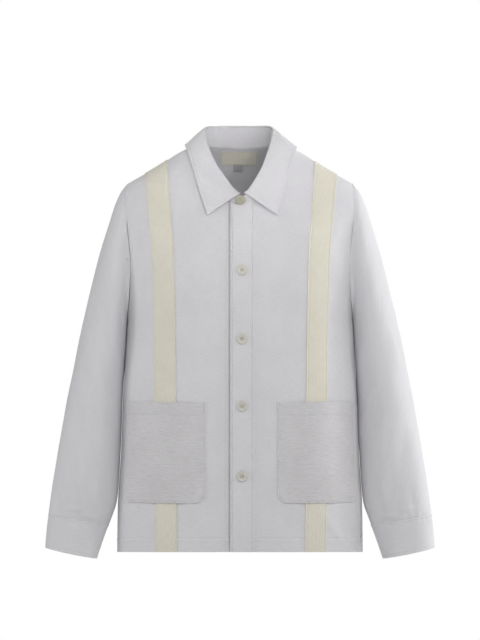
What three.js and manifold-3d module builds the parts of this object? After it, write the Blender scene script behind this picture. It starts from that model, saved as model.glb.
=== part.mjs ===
// A men's cotton shirt jacket, filled out as if worn: fronts, back, sleeves, cuffs, two-piece collar,
// button band, two cream bands, patch pockets, buttons and neck labels, each as its own closed solid.
// Millimetres, +Z up, the front towards -Y and the wearer's left towards +X. Heights in the tables are
// above the hem. The finished group hangs from its origin, midway between the two neck points.
import * as THREE from "three";
import * as BufferGeometryUtils from "three/addons/utils/BufferGeometryUtils.js";
import Module from "manifold-3d";

const clothThickness = 1.5;
const hemThickness = 2.6;
const hemHeight = 25;
const doubleThickness = 2.2; // cuffs, collar stand and collar leaf are two layers of cloth
const bandThickness = 0.9; // cream bands and button band
const seamGap = 0.3;
const roundness = 2.3; // exponent of the body's rounded sections, 2 is an ellipse
const frontShift = 1.8; // bands and pockets sit this far towards the wearer's left

// Half width at the side or armhole seam, and how far front and back stand out from the side seam
const bodySections = [
  { height: 0, side: 215, front: 125, back: 120 },
  { height: 73, side: 214, front: 126, back: 117 },
  { height: 178, side: 208, front: 127, back: 114 },
  { height: 266, side: 205, front: 129, back: 115 },
  { height: 336, side: 201, front: 130, back: 119 },
  { height: 406, side: 197, front: 130, back: 122 },
  { height: 440, side: 193.5, front: 130, back: 123 },
  { height: 470, side: 191.5, front: 128, back: 124.5 },
  { height: 500, side: 190.5, front: 124, back: 125 },
  { height: 558, side: 195, front: 107, back: 122 },
  { height: 607, side: 199.5, front: 79, back: 112 },
  { height: 630, side: 199.5, front: 70, back: 101 },
  { height: 644, side: 196, front: 66, back: 93 },
  { height: 649, side: 188.5, front: 64, back: 89 },
  { height: 655, side: 178, front: 62.5, back: 84.5 },
  { height: 665, side: 160.5, front: 59, back: 77 },
  { height: 686, side: 126.5, front: 50, back: 61 },
  { height: 696.5, side: 110.5, front: 44, back: 52 },
  { height: 706, side: 92, front: 38, back: 43 },
  { height: 712, side: 79, front: 34, back: 38 },
  { height: 716, side: 66, front: 31, back: 35 },
];
const neckPointHeight = 716;
const neckHalfWidth = 66;
const frontNeck = { height: 605, curve: 1.5, soften: 0.09 }; // softened in the middle, where it is sharp
const backNeck = { height: 707, curve: 2, soften: 0 };
const armhole = { low: 406, high: 644, frontDepth: 55, backDepth: 60, steps: 12 };
const armholeMiddle = (armhole.low + armhole.high) / 2;
const armholeHalfHeight = (armhole.high - armhole.low) / 2;
const backSideStart = 150; // the back's lines beyond this are spaced round to its side
const hemRise = { front: 6, below: 90 }; // the front hem is lifted a little by the chest
const lowRows = [0, hemHeight, 55, 90, 130, 175, 220, 264.5, 310, 358];

// Cream bands: inner and outer edge, as distances from the middle
const stripeEdges = [
  { height: 0, inner: 110.5, outer: 146.5 },
  { height: 350, inner: 112.7, outer: 149.8 },
  { height: 525, inner: 116.2, outer: 154 },
];
const stripeTop = { inner: 129, outer: 167 };

const pocket = {
  bottom: 90,
  top: 264.5,
  hem: 22,
  inner: 62.8,
  corner: 18,
  sideFraction: 0.608, // of the way from the cream band's outer edge round to the side seam
  cornerFraction: 0.454,
  thickness: 1.3,
  hemThickness: 2.2,
};
const placketEdges = { free: -16.6, middle: 3.5, sewn: 23.6 };
const underlap = { edge: -16.6, inside: 19, clear: 31, depth: hemThickness + seamGap + 0.2 };

// Broad soft folds of the body: middle of the fold in front view, slant from upright towards the side
const bodyFolds = [
  { panel: "front", x: 196, height: 42, halfLength: 62, width: 15, slant: -32, depth: 5 },
  { panel: "front", x: 168, height: 345, halfLength: 150, width: 20, slant: -3, depth: 3 },
  { panel: "front", x: -170, height: 380, halfLength: 170, width: 22, slant: 3, depth: 3 },
  { panel: "front", x: 70, height: 470, halfLength: 130, width: 26, slant: 9, depth: 2.5 },
  { panel: "back", x: 92, height: 330, halfLength: 250, width: 34, slant: 5, depth: 7 },
  { panel: "back", x: -100, height: 350, halfLength: 230, width: 32, slant: -4, depth: 6 },
  { panel: "back", x: -8, height: 560, halfLength: 120, width: 40, slant: 0, depth: 3 },
];

// Sleeve rings from the armhole to the cuff seam: outer and inner edge in front view, half depths and
// the ring's middle from front to back. Without innerX the inner edge follows the body's side.
const sleeveBodyGap = 1.2;
const sleeveRings = [
  { outerX: 196, outerZ: 644, innerZ: 406, frontDepth: 55, backDepth: 60, y: 0 },
  { outerX: 206.5, outerZ: 633, innerZ: 403.5, frontDepth: 60, backDepth: 63, y: 0 },
  { outerX: 217.5, outerZ: 611, innerZ: 401, frontDepth: 64, backDepth: 66, y: 0 },
  { outerX: 231, outerZ: 570, innerZ: 397, frontDepth: 68, backDepth: 69, y: 0 },
  { outerX: 243.5, outerZ: 528, innerZ: 391, frontDepth: 70, backDepth: 71, y: 0 },
  { outerX: 257, outerZ: 476, innerZ: 382, frontDepth: 71, backDepth: 72, y: 0 },
  { outerX: 270, outerZ: 423, innerZ: 362, frontDepth: 72, backDepth: 72, y: 1 },
  { outerX: 282, outerZ: 371, innerZ: 332, frontDepth: 71, backDepth: 71, y: 2 },
  { outerX: 292, outerZ: 318, innerZ: 292, frontDepth: 69, backDepth: 70, y: 3 },
  { outerX: 303, outerZ: 266, innerZ: 247, frontDepth: 66, backDepth: 67, y: 1 },
  { outerX: 312, outerZ: 213, innerZ: 196, frontDepth: 62, backDepth: 62, y: -3 },
  { outerX: 321, outerZ: 161, innerZ: 143, frontDepth: 56, backDepth: 56, y: -8 },
  { outerX: 328.5, outerZ: 113, innerZ: 93, frontDepth: 49, backDepth: 49, y: -13, innerX: 214.6 },
  { outerX: 334, outerZ: 68, innerZ: 49, frontDepth: 38, backDepth: 38, y: -18, innerX: 229 },
];
const cuffRings = [
  { outerX: 334, outerZ: 68, innerX: 229, innerZ: 49, frontDepth: 38, backDepth: 38, y: -18 },
  { outerX: 337.5, outerZ: 38, innerX: 239.5, innerZ: 19, frontDepth: 39.5, backDepth: 39.5, y: -21 },
  { outerX: 340, outerZ: 9, innerX: 249, innerZ: -10, frontDepth: 40, backDepth: 40, y: -24 },
];
const sleeveSteps = 17;
const cuffSteps = 2;

// Broad folds of a sleeve: place down it as a share of its rings, angle round it from the outer edge
// over the front, both with their half sizes
const sleeveFolds = [
  { along: 0.5, halfAlong: 0.17, around: 78, halfAround: 30, depth: 3.5 },
  { along: 0.66, halfAlong: 0.15, around: 118, halfAround: 26, depth: 4 },
  { along: 0.8, halfAlong: 0.14, around: 66, halfAround: 24, depth: 3.5 },
  { along: 0.6, halfAlong: 0.2, around: 262, halfAround: 30, depth: 4.5 },
  { along: 0.78, halfAlong: 0.14, around: 238, halfAround: 26, depth: 4 },
];

// Collar sections from the buttoned end round to the middle of the back: place on the neck seam, top
// of the stand, and outer edge of the leaf. The first section is the stand's own end, past the leaf.
const collarSections = [
  { panel: "front", seamX: -16.6, topX: -15, topY: -73, topZ: 620 },
  { panel: "front", seamX: 3.5, topX: 3, topY: -72, topZ: 623, edgeX: 59.7, edgeZ: 585.5 },
  { panel: "front", seamX: 19, topX: 15, topY: -69, topZ: 633, edgeX: 64, edgeZ: 598 },
  { panel: "front", seamX: 31, topX: 27, topY: -63.5, topZ: 649, edgeX: 69, edgeZ: 614 },
  { panel: "front", seamX: 41.6, topX: 38.6, topY: -55, topZ: 668, edgeX: 75, edgeZ: 634 },
  { panel: "front", seamX: 54.5, topX: 50.4, topY: -38, topZ: 697, edgeX: 83, edgeZ: 664.5 },
  { panel: "front", seamX: 62.6, topX: 57.4, topY: -19, topZ: 720, edgeX: 90, edgeZ: 689.5 },
  { panel: "front", seamX: 65.3, topX: 58.8, topY: -5, topZ: 733, edgeX: 93.2, edgeZ: 700 },
  { panel: "front", seamX: 66, topX: 56.5, topY: 9, topZ: 741, edgeX: 95.6, edgeZ: 708 },
  { panel: "back", seamX: 58, topX: 50, topY: 21, topZ: 743.6, edgeX: 87, edgeZ: 704 },
  { panel: "back", seamX: 44, topX: 40.5, topY: 30, topZ: 744, edgeX: 67, edgeZ: 699.5 },
  { panel: "back", seamX: 22, topX: 21, topY: 36.5, topZ: 744, edgeX: 35, edgeZ: 697 },
  { panel: "back", seamX: 0, topX: 0, topY: 38, topZ: 744, edgeX: 0, edgeZ: 696.5 },
];
// The collar sits a little to the wearer's left in front, and its leaf hangs lower on that side
const foldShift = { front: 1.5, shoulder: -2, below: 650, above: 700 };
const leftFoldDrop = { most: 3.5, below: 625, above: 650 };
const leafShift = { front: 3.9, shoulder: 1.75, below: 590, above: 700 };
const leafTilt = { drop: 4, atX: 97, below: 640, above: 700 };
const leafStart = 0.4; // the left end of the leaf, as a share of the way to the next section
const neckMiddleY = -17;
const standOuter = 0.4; // the stand's outer face, from the line between neck seam and fold
const standSeamGap = 1.6; // keeps the stand clear of the neckline between its sections
const foldGap = 1.2; // between the stand's top and the leaf's roll
// The leaf's roll over the stand, and how far its lower half bows out, from the front to the shoulders
const leafRoll = { front: 6.5, shoulder: 4.6 };
const leafBulge = { front: 2, shoulder: 0.8 };
const leafFlatter = { below: 700, above: 740 };
const leafSteps = 6;
const leafCrowding = 1.35; // brings the leaf's rows closer together at its roll
const leafEdgeLift = 4.8;

// A four-hole button: profile from the middle of its back, round the rim, to the dished face
const button = { diameter: 18.5, thickness: 3.2, dish: 0.9, holeRadius: 1.1, holeSpacing: 3.4, sides: 20 };
const buttonProfile = [
  { fromEdge: 1.4, up: 0 },
  { fromEdge: 0, up: 1.3 },
  { fromEdge: 0.5, up: button.thickness - 0.4 },
  { fromEdge: 1.2, up: button.thickness },
  { fromEdge: 2.2, up: button.thickness - 0.2 },
  { fromEdge: 3.4, up: button.thickness - button.dish },
];
const buttonHeights = [612, 492, 374, 258, 137];
const topButton = { across: 0.83, thread: 1.5 }; // share of the way from the stand's end to its next
// section, and the length of the thread that holds it off the stand
const neckLabel = { centreX: -1.5, width: 65, top: 703.5, height: 23, thickness: 0.8 };
const sizeTab = { centreX: -3.5, width: 17, height: 12, thickness: 0.6 };
const labelGap = 1; // between the back's inside and the label, whose chords are longer than the back's
const tabTuck = 2; // the size tab's top lies behind the label's lower edge

const colours = {
  cloth: 0xe9e9ee,
  pocketCloth: 0xdedee0,
  cream: 0xf1ecd2,
  button: 0xd9d7cb,
  label: 0xbdbbac,
  tab: 0xa3a29a,
};

// Smooth curve through a table's column that never overshoots its rows
function smoothAt(rows, key, column, at) {
  const last = rows.length - 1;
  if (at <= rows[0][key]) return rows[0][column];
  if (at >= rows[last][key]) return rows[last][column];
  let k = 0;
  while (rows[k + 1][key] < at) k++;
  const rise = (i) => (rows[i + 1][column] - rows[i][column]) / (rows[i + 1][key] - rows[i][key]);
  const slope = (i) => {
    if (i === 0) return rise(0);
    if (i === last) return rise(last - 1);
    const before = rise(i - 1);
    const after = rise(i);
    return before * after <= 0 ? 0 : (2 * before * after) / (before + after);
  };
  const span = rows[k + 1][key] - rows[k][key];
  const t = (at - rows[k][key]) / span;
  const blend = t * t * (3 - 2 * t);
  const leave = t * (1 - t) * (1 - t) * span;
  const arrive = -t * t * (1 - t) * span;
  return (
    rows[k][column] * (1 - blend) + rows[k + 1][column] * blend + slope(k) * leave + slope(k + 1) * arrive
  );
}

const mix = (from, to, share) => from + (to - from) * share;
const sideAt = (height) => smoothAt(bodySections, "height", "side", height);
const standOut = (panel, height) => smoothAt(bodySections, "height", panel, height);

// The armhole seam's distance from the side plane, an ellipse from underarm to shoulder point
function armholeDepth(panel, height) {
  const share = (height - armholeMiddle) / armholeHalfHeight;
  const depth = panel === "front" ? armhole.frontDepth : armhole.backDepth;
  return Math.abs(share) >= 1 ? 0 : depth * Math.sqrt(1 - share * share);
}

// Half width of the whole rounded section, of which the armhole cuts off the ends
function sectionHalfWidth(panel, height) {
  const cut = Math.pow(armholeDepth(panel, height) / standOut(panel, height), roundness);
  return sideAt(height) / Math.pow(1 - cut, 1 / roundness);
}

function foldDepth(panel, x, height) {
  return bodyFolds
    .filter((fold) => fold.panel === panel)
    .reduce((sum, fold) => {
      const slant = THREE.MathUtils.degToRad(fold.slant);
      const right = x - fold.x;
      const up = height - fold.height;
      const along = (up * Math.cos(slant) + right * Math.sin(slant)) / fold.halfLength;
      const across = (right * Math.cos(slant) - up * Math.sin(slant)) / fold.width;
      return sum + fold.depth * Math.exp(-across * across) * Math.pow(Math.max(0, 1 - along * along), 2);
    }, 0);
}

// Points of the body's rounded sections satisfy |x/halfWidth|^roundness + |y/standOut|^roundness = 1
function sectionValue(panel, x, y, height) {
  const wide = Math.abs(x) / sectionHalfWidth(panel, height);
  const deep = Math.max(0, Math.abs(y) - seamGap / 2) / standOut(panel, height);
  return Math.pow(wide, roundness) + Math.pow(deep, roundness);
}

function bodyNormal(panel, x, y, height) {
  const step = 0.4; // mm each way
  const slope = (dx, dy, dz) =>
    sectionValue(panel, x + dx, y + dy, height + dz) - sectionValue(panel, x - dx, y - dy, height - dz);
  return new THREE.Vector3(slope(step, 0, 0), slope(0, step, 0), slope(0, 0, step)).normalize();
}

// Point on the body's outer surface and the direction out of it
function bodyPoint(panel, x, height) {
  const halfWidth = sectionHalfWidth(panel, height);
  const wide = Math.min(1, Math.abs(x) / halfWidth);
  const depth = standOut(panel, height) * Math.pow(1 - Math.pow(wide, roundness), 1 / roundness);
  const y = (panel === "front" ? -1 : 1) * (depth + seamGap / 2);
  const normal = bodyNormal(panel, x, y, height);
  const point = new THREE.Vector3(x, y, height).addScaledVector(normal, -foldDepth(panel, x, height));
  if (panel === "front" && height < hemRise.below) {
    const lift = hemRise.front * (1 - height / hemRise.below);
    point.z += (lift * depth) / standOut(panel, height);
  }
  return { point, normal };
}

// Height of the shoulder seam over a distance from the middle
function shoulderHeight(x) {
  let low = armhole.high;
  let high = neckPointHeight;
  for (let i = 0; i < 40; i++) {
    const middle = (low + high) / 2;
    if (sideAt(middle) > x) low = middle;
    else high = middle;
  }
  return (low + high) / 2;
}

// Height of a panel's top edge: the neckline in the middle, the shoulder seam beyond the neck point
function topHeight(panel, x) {
  if (Math.abs(x) >= neckHalfWidth) return shoulderHeight(Math.abs(x));
  const neck = panel === "front" ? frontNeck : backNeck;
  const soft = Math.hypot(x / neckHalfWidth, neck.soften) - neck.soften;
  const wide = soft / (Math.hypot(1, neck.soften) - neck.soften);
  const share = Math.pow(1 - Math.pow(wide, neck.curve), 1 / neck.curve);
  return neckPointHeight - (neckPointHeight - neck.height) * share;
}

const armholeShares = Array.from({ length: armhole.steps + 1 }, (_, i) =>
  -Math.cos((Math.PI * i) / armhole.steps),
);
const bodyRows = [
  ...lowRows.map((height) => ({ height, share: 0 })),
  ...armholeShares.map((share) => ({
    height: armholeMiddle + armholeHalfHeight * Math.min(0, share),
    share: Math.max(0, share),
  })),
];

// Turns a distance from the middle into an angle round the section, and back
const angleAt = (x, halfWidth) => Math.asin(Math.pow(Math.min(1, x / halfWidth), roundness / 2));
const distanceAt = (angle, halfWidth) => halfWidth * Math.pow(Math.sin(angle), 2 / roundness);

// Where an upright line of a panel meets a row. Below the armhole's middle its place comes from the
// tables; above it the line runs straight to its place on the neckline or shoulder seam.
function linePoint(panel, line, row, mirror) {
  const shift = frontShift * mirror;
  const stripeX = (edge) => smoothAt(stripeEdges, "height", edge, row.height) + shift;
  let x = line.x;
  let topX = line.topX ?? line.x;
  if (line.stripe !== undefined) {
    x = mix(stripeX("inner"), stripeX("outer"), line.stripe);
    topX = mix(stripeTop.inner, stripeTop.outer, line.stripe) + shift;
  }
  if (line.side === 1 && row.share > 0) {
    const height = armholeMiddle + armholeHalfHeight * row.share;
    return { x: sideAt(height), height };
  }
  if (line.side !== undefined) {
    const start = panel === "front" ? stripeX("outer") : backSideStart;
    const startTop = panel === "front" ? stripeTop.outer + shift : backSideStart;
    const halfWidth = sectionHalfWidth(panel, row.height);
    const from = angleAt(start, halfWidth);
    const to = angleAt(sideAt(row.height), halfWidth);
    x = distanceAt(mix(from, to, line.side), halfWidth);
    topX = mix(startTop, sideAt(armhole.high), line.side);
  }
  if (line.shifted) x += shift;
  const top = topHeight(panel, topX);
  return { x: mix(x, topX, row.share), height: mix(row.height, top, row.share) };
}

const overlapLines = [
  { x: placketEdges.free },
  { x: placketEdges.middle },
  { x: underlap.inside },
  { x: placketEdges.sewn },
  { x: underlap.clear },
  { x: 43, topX: 41.6 },
];
const underlapLines = [
  { x: underlap.edge, tuck: underlap.depth },
  { x: placketEdges.middle, tuck: underlap.depth },
  { x: underlap.inside, tuck: underlap.depth },
  { x: underlap.clear },
  { x: 43, topX: 41.6 },
];
const pocketLines = [
  { x: pocket.inner, topX: 54.5, shifted: true, corner: 0 },
  { x: pocket.inner + 0.3 * pocket.corner, topX: 62.6, shifted: true, corner: 0.3 },
  { x: pocket.inner + 0.6 * pocket.corner, topX: 65.3, shifted: true, corner: 0.6 },
  { x: pocket.inner + pocket.corner, topX: neckHalfWidth, shifted: true },
  { x: 96, topX: 99, shifted: true },
  { stripe: 0 },
  { stripe: 0.5 },
  { stripe: 1 },
  { side: pocket.cornerFraction / 2 },
  { side: pocket.cornerFraction },
  { side: mix(pocket.cornerFraction, pocket.sideFraction, 0.4), corner: 0.6 },
  { side: mix(pocket.cornerFraction, pocket.sideFraction, 0.7), corner: 0.3 },
  { side: pocket.sideFraction, corner: 0 },
];
const sideLines = [{ side: 0.8 }, { side: 1 }];
const backHalfLines = [
  { x: 22 },
  { x: 44 },
  { x: 58 },
  { x: 70, topX: neckHalfWidth },
  { x: 88, topX: 88 },
  { x: 108, topX: 110 },
  { x: 129, topX: 131 },
  { side: 0 },
  { side: 0.3 },
  { side: 0.6 },
  { side: 0.82 },
  { side: 1 },
];

// Grid of points with their outward directions, one column of the grid for each upright line
function panelGrid(panel, lines, rows, mirror) {
  return lines.map((line) =>
    rows.map((row) => {
      const at = linePoint(panel, line, row, mirror);
      const { point, normal } = bodyPoint(panel, at.x * mirror, at.height);
      point.addScaledVector(normal, -(line.tuck ?? 0));
      return { point, normal, height: at.height, line };
    }),
  );
}

// A closed wall: the grid moved out, the grid moved in, and the strips that join them at its borders.
// Columns run around or across, rows run upwards or along. A loop joins its last column to its first.
function wallGeometry(grid, outer, inner, loop = false) {
  const columns = grid.length;
  const rows = grid[0].length;
  const positions = [];
  for (const offset of [outer, inner])
    for (const column of grid)
      for (const cell of column) {
        const moved = cell.point.clone().addScaledVector(cell.normal, offset(cell));
        positions.push(moved.x, moved.y, moved.z);
      }
  const out = (i, j) => (i % columns) * rows + j;
  const back = (i, j) => columns * rows + out(i, j);
  const triangles = [];
  const quad = (a, b, c, d) => triangles.push(a, b, c, a, c, d);
  const spans = loop ? columns : columns - 1;
  for (let i = 0; i < spans; i++) {
    for (let j = 0; j < rows - 1; j++) {
      quad(out(i, j), out(i + 1, j), out(i + 1, j + 1), out(i, j + 1));
      quad(back(i, j), back(i, j + 1), back(i + 1, j + 1), back(i + 1, j));
    }
    quad(out(i, 0), back(i, 0), back(i + 1, 0), out(i + 1, 0));
    quad(out(i, rows - 1), out(i + 1, rows - 1), back(i + 1, rows - 1), back(i, rows - 1));
  }
  if (!loop)
    for (let j = 0; j < rows - 1; j++) {
      quad(out(0, j), out(0, j + 1), back(0, j + 1), back(0, j));
      quad(out(columns - 1, j), back(columns - 1, j), back(columns - 1, j + 1), out(columns - 1, j + 1));
    }
  const geometry = new THREE.BufferGeometry();
  geometry.setAttribute("position", new THREE.Float32BufferAttribute(positions, 3));
  geometry.setIndex(triangles);
  return facingOut(geometry);
}

function signedVolume(geometry) {
  const position = geometry.getAttribute("position");
  const index = geometry.getIndex();
  const [a, b, c] = [0, 1, 2].map(() => new THREE.Vector3());
  let sum = 0;
  for (let i = 0; i < index.count; i += 3) {
    a.fromBufferAttribute(position, index.getX(i));
    b.fromBufferAttribute(position, index.getX(i + 1));
    c.fromBufferAttribute(position, index.getX(i + 2));
    sum += a.dot(b.cross(c));
  }
  return sum;
}

function facingOut(geometry) {
  if (signedVolume(geometry) < 0) {
    const index = geometry.getIndex();
    for (let i = 0; i < index.count; i += 3) {
      const second = index.getX(i + 1);
      index.setX(i + 1, index.getX(i + 2));
      index.setX(i + 2, second);
    }
  }
  geometry.computeVertexNormals();
  return geometry;
}

const panelInside = (cell) => -(cell.height < hemHeight + 1 ? hemThickness : clothThickness);
const flush = () => 0;

function panelWall(panel, lines, mirror) {
  return wallGeometry(panelGrid(panel, lines, bodyRows, mirror), flush, panelInside);
}

function backWall() {
  const left = panelGrid("back", [{ x: 0 }, ...backHalfLines], bodyRows, 1);
  const right = panelGrid("back", backHalfLines, bodyRows, -1);
  return wallGeometry([...right.reverse(), ...left], flush, panelInside);
}

const frontLines = (mirror) => [
  ...(mirror > 0 ? overlapLines : underlapLines),
  ...pocketLines,
  ...sideLines,
];

// A band that lies on a front, made from that front's points moved out
function bandWall(lines, mirror) {
  const grid = panelGrid("front", lines, bodyRows, mirror);
  return wallGeometry(grid, () => seamGap + bandThickness, () => seamGap);
}

// Patch pocket on a front's own lines: it rises over the cream band, and its lower corners are arcs
function pocketWall(mirror) {
  const hemStart = pocket.top - pocket.hem;
  const grid = pocketLines.map((line) => {
    const inset = line.corner === undefined ? 1 : line.corner;
    const lift = pocket.corner * (1 - Math.sqrt(1 - (1 - inset) * (1 - inset)));
    const bottom = pocket.bottom + lift;
    const heights = [0, 0.2, 0.4, 0.6, 0.8, 1].map((share) => mix(bottom, hemStart, share));
    const rows = [...heights, hemStart + 1, pocket.top].map((height) => ({ height, share: 0 }));
    return panelGrid("front", [line], rows, mirror)[0];
  });
  const rest = (cell) => seamGap + (cell.line.stripe === undefined ? 0 : bandThickness + seamGap);
  const thickness = (cell) => (cell.height > hemStart + 0.5 ? pocket.hemThickness : pocket.thickness);
  return wallGeometry(grid, (cell) => rest(cell) + thickness(cell), rest);
}

// Direction out of a grid at each point, from its neighbours. An end row turns in its ring's plane.
function addNormals(grid, loop, centreOf, flatEnds) {
  const columns = grid.length;
  const rows = grid[0].length;
  let outwards = 0;
  const at = (i, j) => grid[loop ? (i + columns) % columns : Math.min(Math.max(i, 0), columns - 1)][j];
  for (let i = 0; i < columns; i++)
    for (let j = 0; j < rows; j++) {
      const across = at(i + 1, j).point.clone().sub(at(i - 1, j).point);
      const along = at(i, Math.min(j + 1, rows - 1)).point.clone().sub(at(i, Math.max(j - 1, 0)).point);
      const normal = across.cross(along).normalize();
      if (flatEnds && (j === 0 || j === rows - 1)) {
        normal.addScaledVector(flatEnds(j), -normal.dot(flatEnds(j))).normalize();
      }
      outwards += normal.dot(grid[i][j].point.clone().sub(centreOf(j)));
      grid[i][j].normal = normal;
    }
  if (outwards < 0) grid.flat().forEach((cell) => cell.normal.negate());
}

// One ring of a sleeve or cuff at a place along its table. Angle 0 is the outer edge, 90 the front.
function ringAt(rings, place) {
  const rows = rings.map((ring, index) => ({
    ...ring,
    index,
    innerX: ring.innerX ?? sideAt(ring.innerZ) + (index === 0 ? 0 : sleeveBodyGap),
  }));
  const value = (column) => smoothAt(rows, "index", column, place);
  const outer = new THREE.Vector3(value("outerX"), 0, value("outerZ"));
  const inner = new THREE.Vector3(value("innerX"), 0, value("innerZ"));
  const middle = outer.clone().add(inner).multiplyScalar(0.5);
  const reach = outer.clone().sub(inner).multiplyScalar(0.5);
  middle.y = value("y");
  const axis = new THREE.Vector3(0, 1, 0).cross(reach).normalize();
  return { middle, reach, axis, front: value("frontDepth"), back: value("backDepth") };
}

const stations = 2 * armhole.steps;

function sleeveFoldDepth(along, around) {
  return sleeveFolds.reduce((sum, fold) => {
    const down = (along - fold.along) / fold.halfAlong;
    const round = (around - fold.around) / fold.halfAround;
    return sum + fold.depth * Math.pow(Math.max(0, 1 - down * down), 2) * Math.exp(-round * round);
  }, 0);
}

function tubeGrid(rings, steps, startAtArmhole) {
  const places = Array.from({ length: steps + 1 }, (_, j) => ((rings.length - 1) * j) / steps);
  const all = places.map((place) => ringAt(rings, place));
  const grid = Array.from({ length: stations }, (_, i) => {
    const angle = (2 * Math.PI * i) / stations;
    return all.map((ring, j) => {
      const depth = Math.sin(angle) > 0 ? ring.front : ring.back;
      const point = ring.middle.clone().addScaledVector(ring.reach, Math.cos(angle));
      point.y -= depth * Math.sin(angle);
      if (startAtArmhole && j === 0) point.x = sideAt(point.z) + seamGap;
      return { point, along: j / steps, around: THREE.MathUtils.radToDeg(angle) };
    });
  });
  const flatEnds = (j) => (startAtArmhole && j === 0 ? new THREE.Vector3(1, 0, 0) : all[j].axis);
  addNormals(grid, true, (j) => all[j].middle, flatEnds);
  return { grid, all };
}

function sleeveWall() {
  const { grid } = tubeGrid(sleeveRings, sleeveSteps, true);
  for (const column of grid)
    for (const cell of column)
      cell.point.addScaledVector(cell.normal, -sleeveFoldDepth(cell.along, cell.around));
  return wallGeometry(grid, flush, () => -clothThickness, true);
}

function cuffWall() {
  const { grid, all } = tubeGrid(cuffRings, cuffSteps, false);
  const down = all[1].middle.clone().sub(all[0].middle).normalize();
  for (const column of grid) column[0].point.addScaledVector(down, seamGap);
  return wallGeometry(grid, flush, () => -doubleThickness, true);
}

function mirrored(geometry) {
  const copy = geometry.clone().scale(-1, 1, 1);
  return facingOut(copy);
}

// How far a height has risen from one given height to another, from 0 to 1
const riseShare = (height, { below, above }) =>
  THREE.MathUtils.clamp((height - below) / (above - below), 0, 1);

// Section of the collar with its seam, top and edge points in space
function collarSection(section, mirror) {
  const height = topHeight(section.panel, section.seamX);
  const { point: seam, normal } = bodyPoint(section.panel, section.seamX * mirror, height);
  const isUnder = mirror < 0 && section.panel === "front" && section.seamX < underlap.clear;
  const under = isUnder ? underlap.depth : 0;
  seam.addScaledVector(normal, -under);
  const shift = mix(foldShift.front, foldShift.shoulder, riseShare(section.topZ, foldShift));
  const fallen = mirror > 0 ? leftFoldDrop.most * (1 - riseShare(section.topZ, leftFoldDrop)) : 0;
  const top = new THREE.Vector3(section.topX * mirror + shift, section.topY + under, section.topZ - fallen);
  const result = { seam, top };
  if (section.edgeX !== undefined) {
    const sideways = mix(leafShift.front, leafShift.shoulder, riseShare(section.edgeZ, leafShift));
    const x = section.edgeX * mirror + sideways;
    const drop = (leafTilt.drop / 2) * (1 + x / leafTilt.atX) * riseShare(section.edgeZ, leafTilt);
    const { point, normal: out } = bodyPoint(section.panel, x, section.edgeZ - drop);
    result.edge = point.addScaledVector(out, leafEdgeLift);
  }
  return result;
}

const leafSections = collarSections.filter((section) => section.edgeX !== undefined);

function aroundNeck(sections) {
  const left = sections.map((section) => collarSection(section, 1));
  const right = sections.slice(0, -1).map((section) => collarSection(section, -1));
  return [...left, ...right.reverse()];
}

// Directions at a section, square to the fold line: out is away from the neck's middle, up is over it
function collarFrame(all, i) {
  const top = all[i].top;
  const before = all[Math.max(0, i - 1)].top;
  const after = all[Math.min(all.length - 1, i + 1)].top;
  const along = after.clone().sub(before).normalize();
  const out = new THREE.Vector3(top.x, top.y - neckMiddleY, 0).normalize();
  out.addScaledVector(along, -out.dot(along)).normalize();
  const up = along.clone().cross(out);
  if (up.z < 0) up.negate();
  return { up, out };
}

function standWall() {
  const all = aroundNeck(collarSections);
  const grid = all.map((section, i) => {
    const { out } = collarFrame(all, i);
    const rise = section.top.clone().sub(section.seam).normalize();
    const start = section.seam.clone().addScaledVector(rise, standSeamGap);
    return [0, 0.5, 1].map((share) => ({
      point: start.clone().lerp(section.top, share),
      normal: out,
    }));
  });
  return wallGeometry(grid, () => standOuter, () => standOuter - doubleThickness);
}

// Leaf: over the stand's top, out in a soft roll and down to its edge, a cubic curve in each section
function leafWall() {
  const all = aroundNeck(leafSections);
  all[0].top.lerp(all[1].top, leafStart);
  const grid = all.map((section, i) => {
    const { up, out } = collarFrame(all, i);
    const flatter = riseShare(section.top.z, leafFlatter);
    const start = section.top.clone().addScaledVector(up, doubleThickness / 2 + foldGap);
    const roll = start.clone().addScaledVector(out, mix(leafRoll.front, leafRoll.shoulder, flatter));
    const fall = section.edge.clone().lerp(start, 0.4);
    fall.addScaledVector(out, mix(leafBulge.front, leafBulge.shoulder, flatter));
    const curve = new THREE.CubicBezierCurve3(start, roll, fall, section.edge);
    const shares = Array.from({ length: leafSteps + 1 }, (_, j) => Math.pow(j / leafSteps, leafCrowding));
    return shares.map((share) => ({ point: curve.getPoint(share) }));
  });
  const neckMiddle = new THREE.Vector3(0, neckMiddleY, mix(frontNeck.height, neckPointHeight, 0.65));
  addNormals(grid, false, () => neckMiddle, null);
  const half = () => doubleThickness / 2;
  return wallGeometry(grid, half, (cell) => -half(cell));
}

// A small cloth label on the inside of the back, below the neck seam
function labelWall(label, top, lift) {
  const grid = [-0.5, -0.25, 0, 0.25, 0.5].map((across) => {
    const x = label.centreX + label.width * across;
    return [0, 0.5, 1].map((share) => bodyPoint("back", x, top - label.height * (1 - share)));
  });
  const under = clothThickness + labelGap + lift;
  return wallGeometry(grid, () => -under, () => -under - label.thickness);
}

const manifold = await Module();
manifold.setup();

// The same shape with one vertex at each place
function merged(geometry) {
  const bare = geometry.clone();
  bare.deleteAttribute("normal");
  bare.deleteAttribute("uv");
  return BufferGeometryUtils.mergeVertices(bare, 1e-4);
}

function toManifold(geometry) {
  const whole = merged(geometry);
  return new manifold.Manifold(
    new manifold.Mesh({
      numProp: 3,
      vertProperties: new Float32Array(whole.getAttribute("position").array),
      triVerts: new Uint32Array(whole.getIndex().array),
    }),
  );
}

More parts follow.
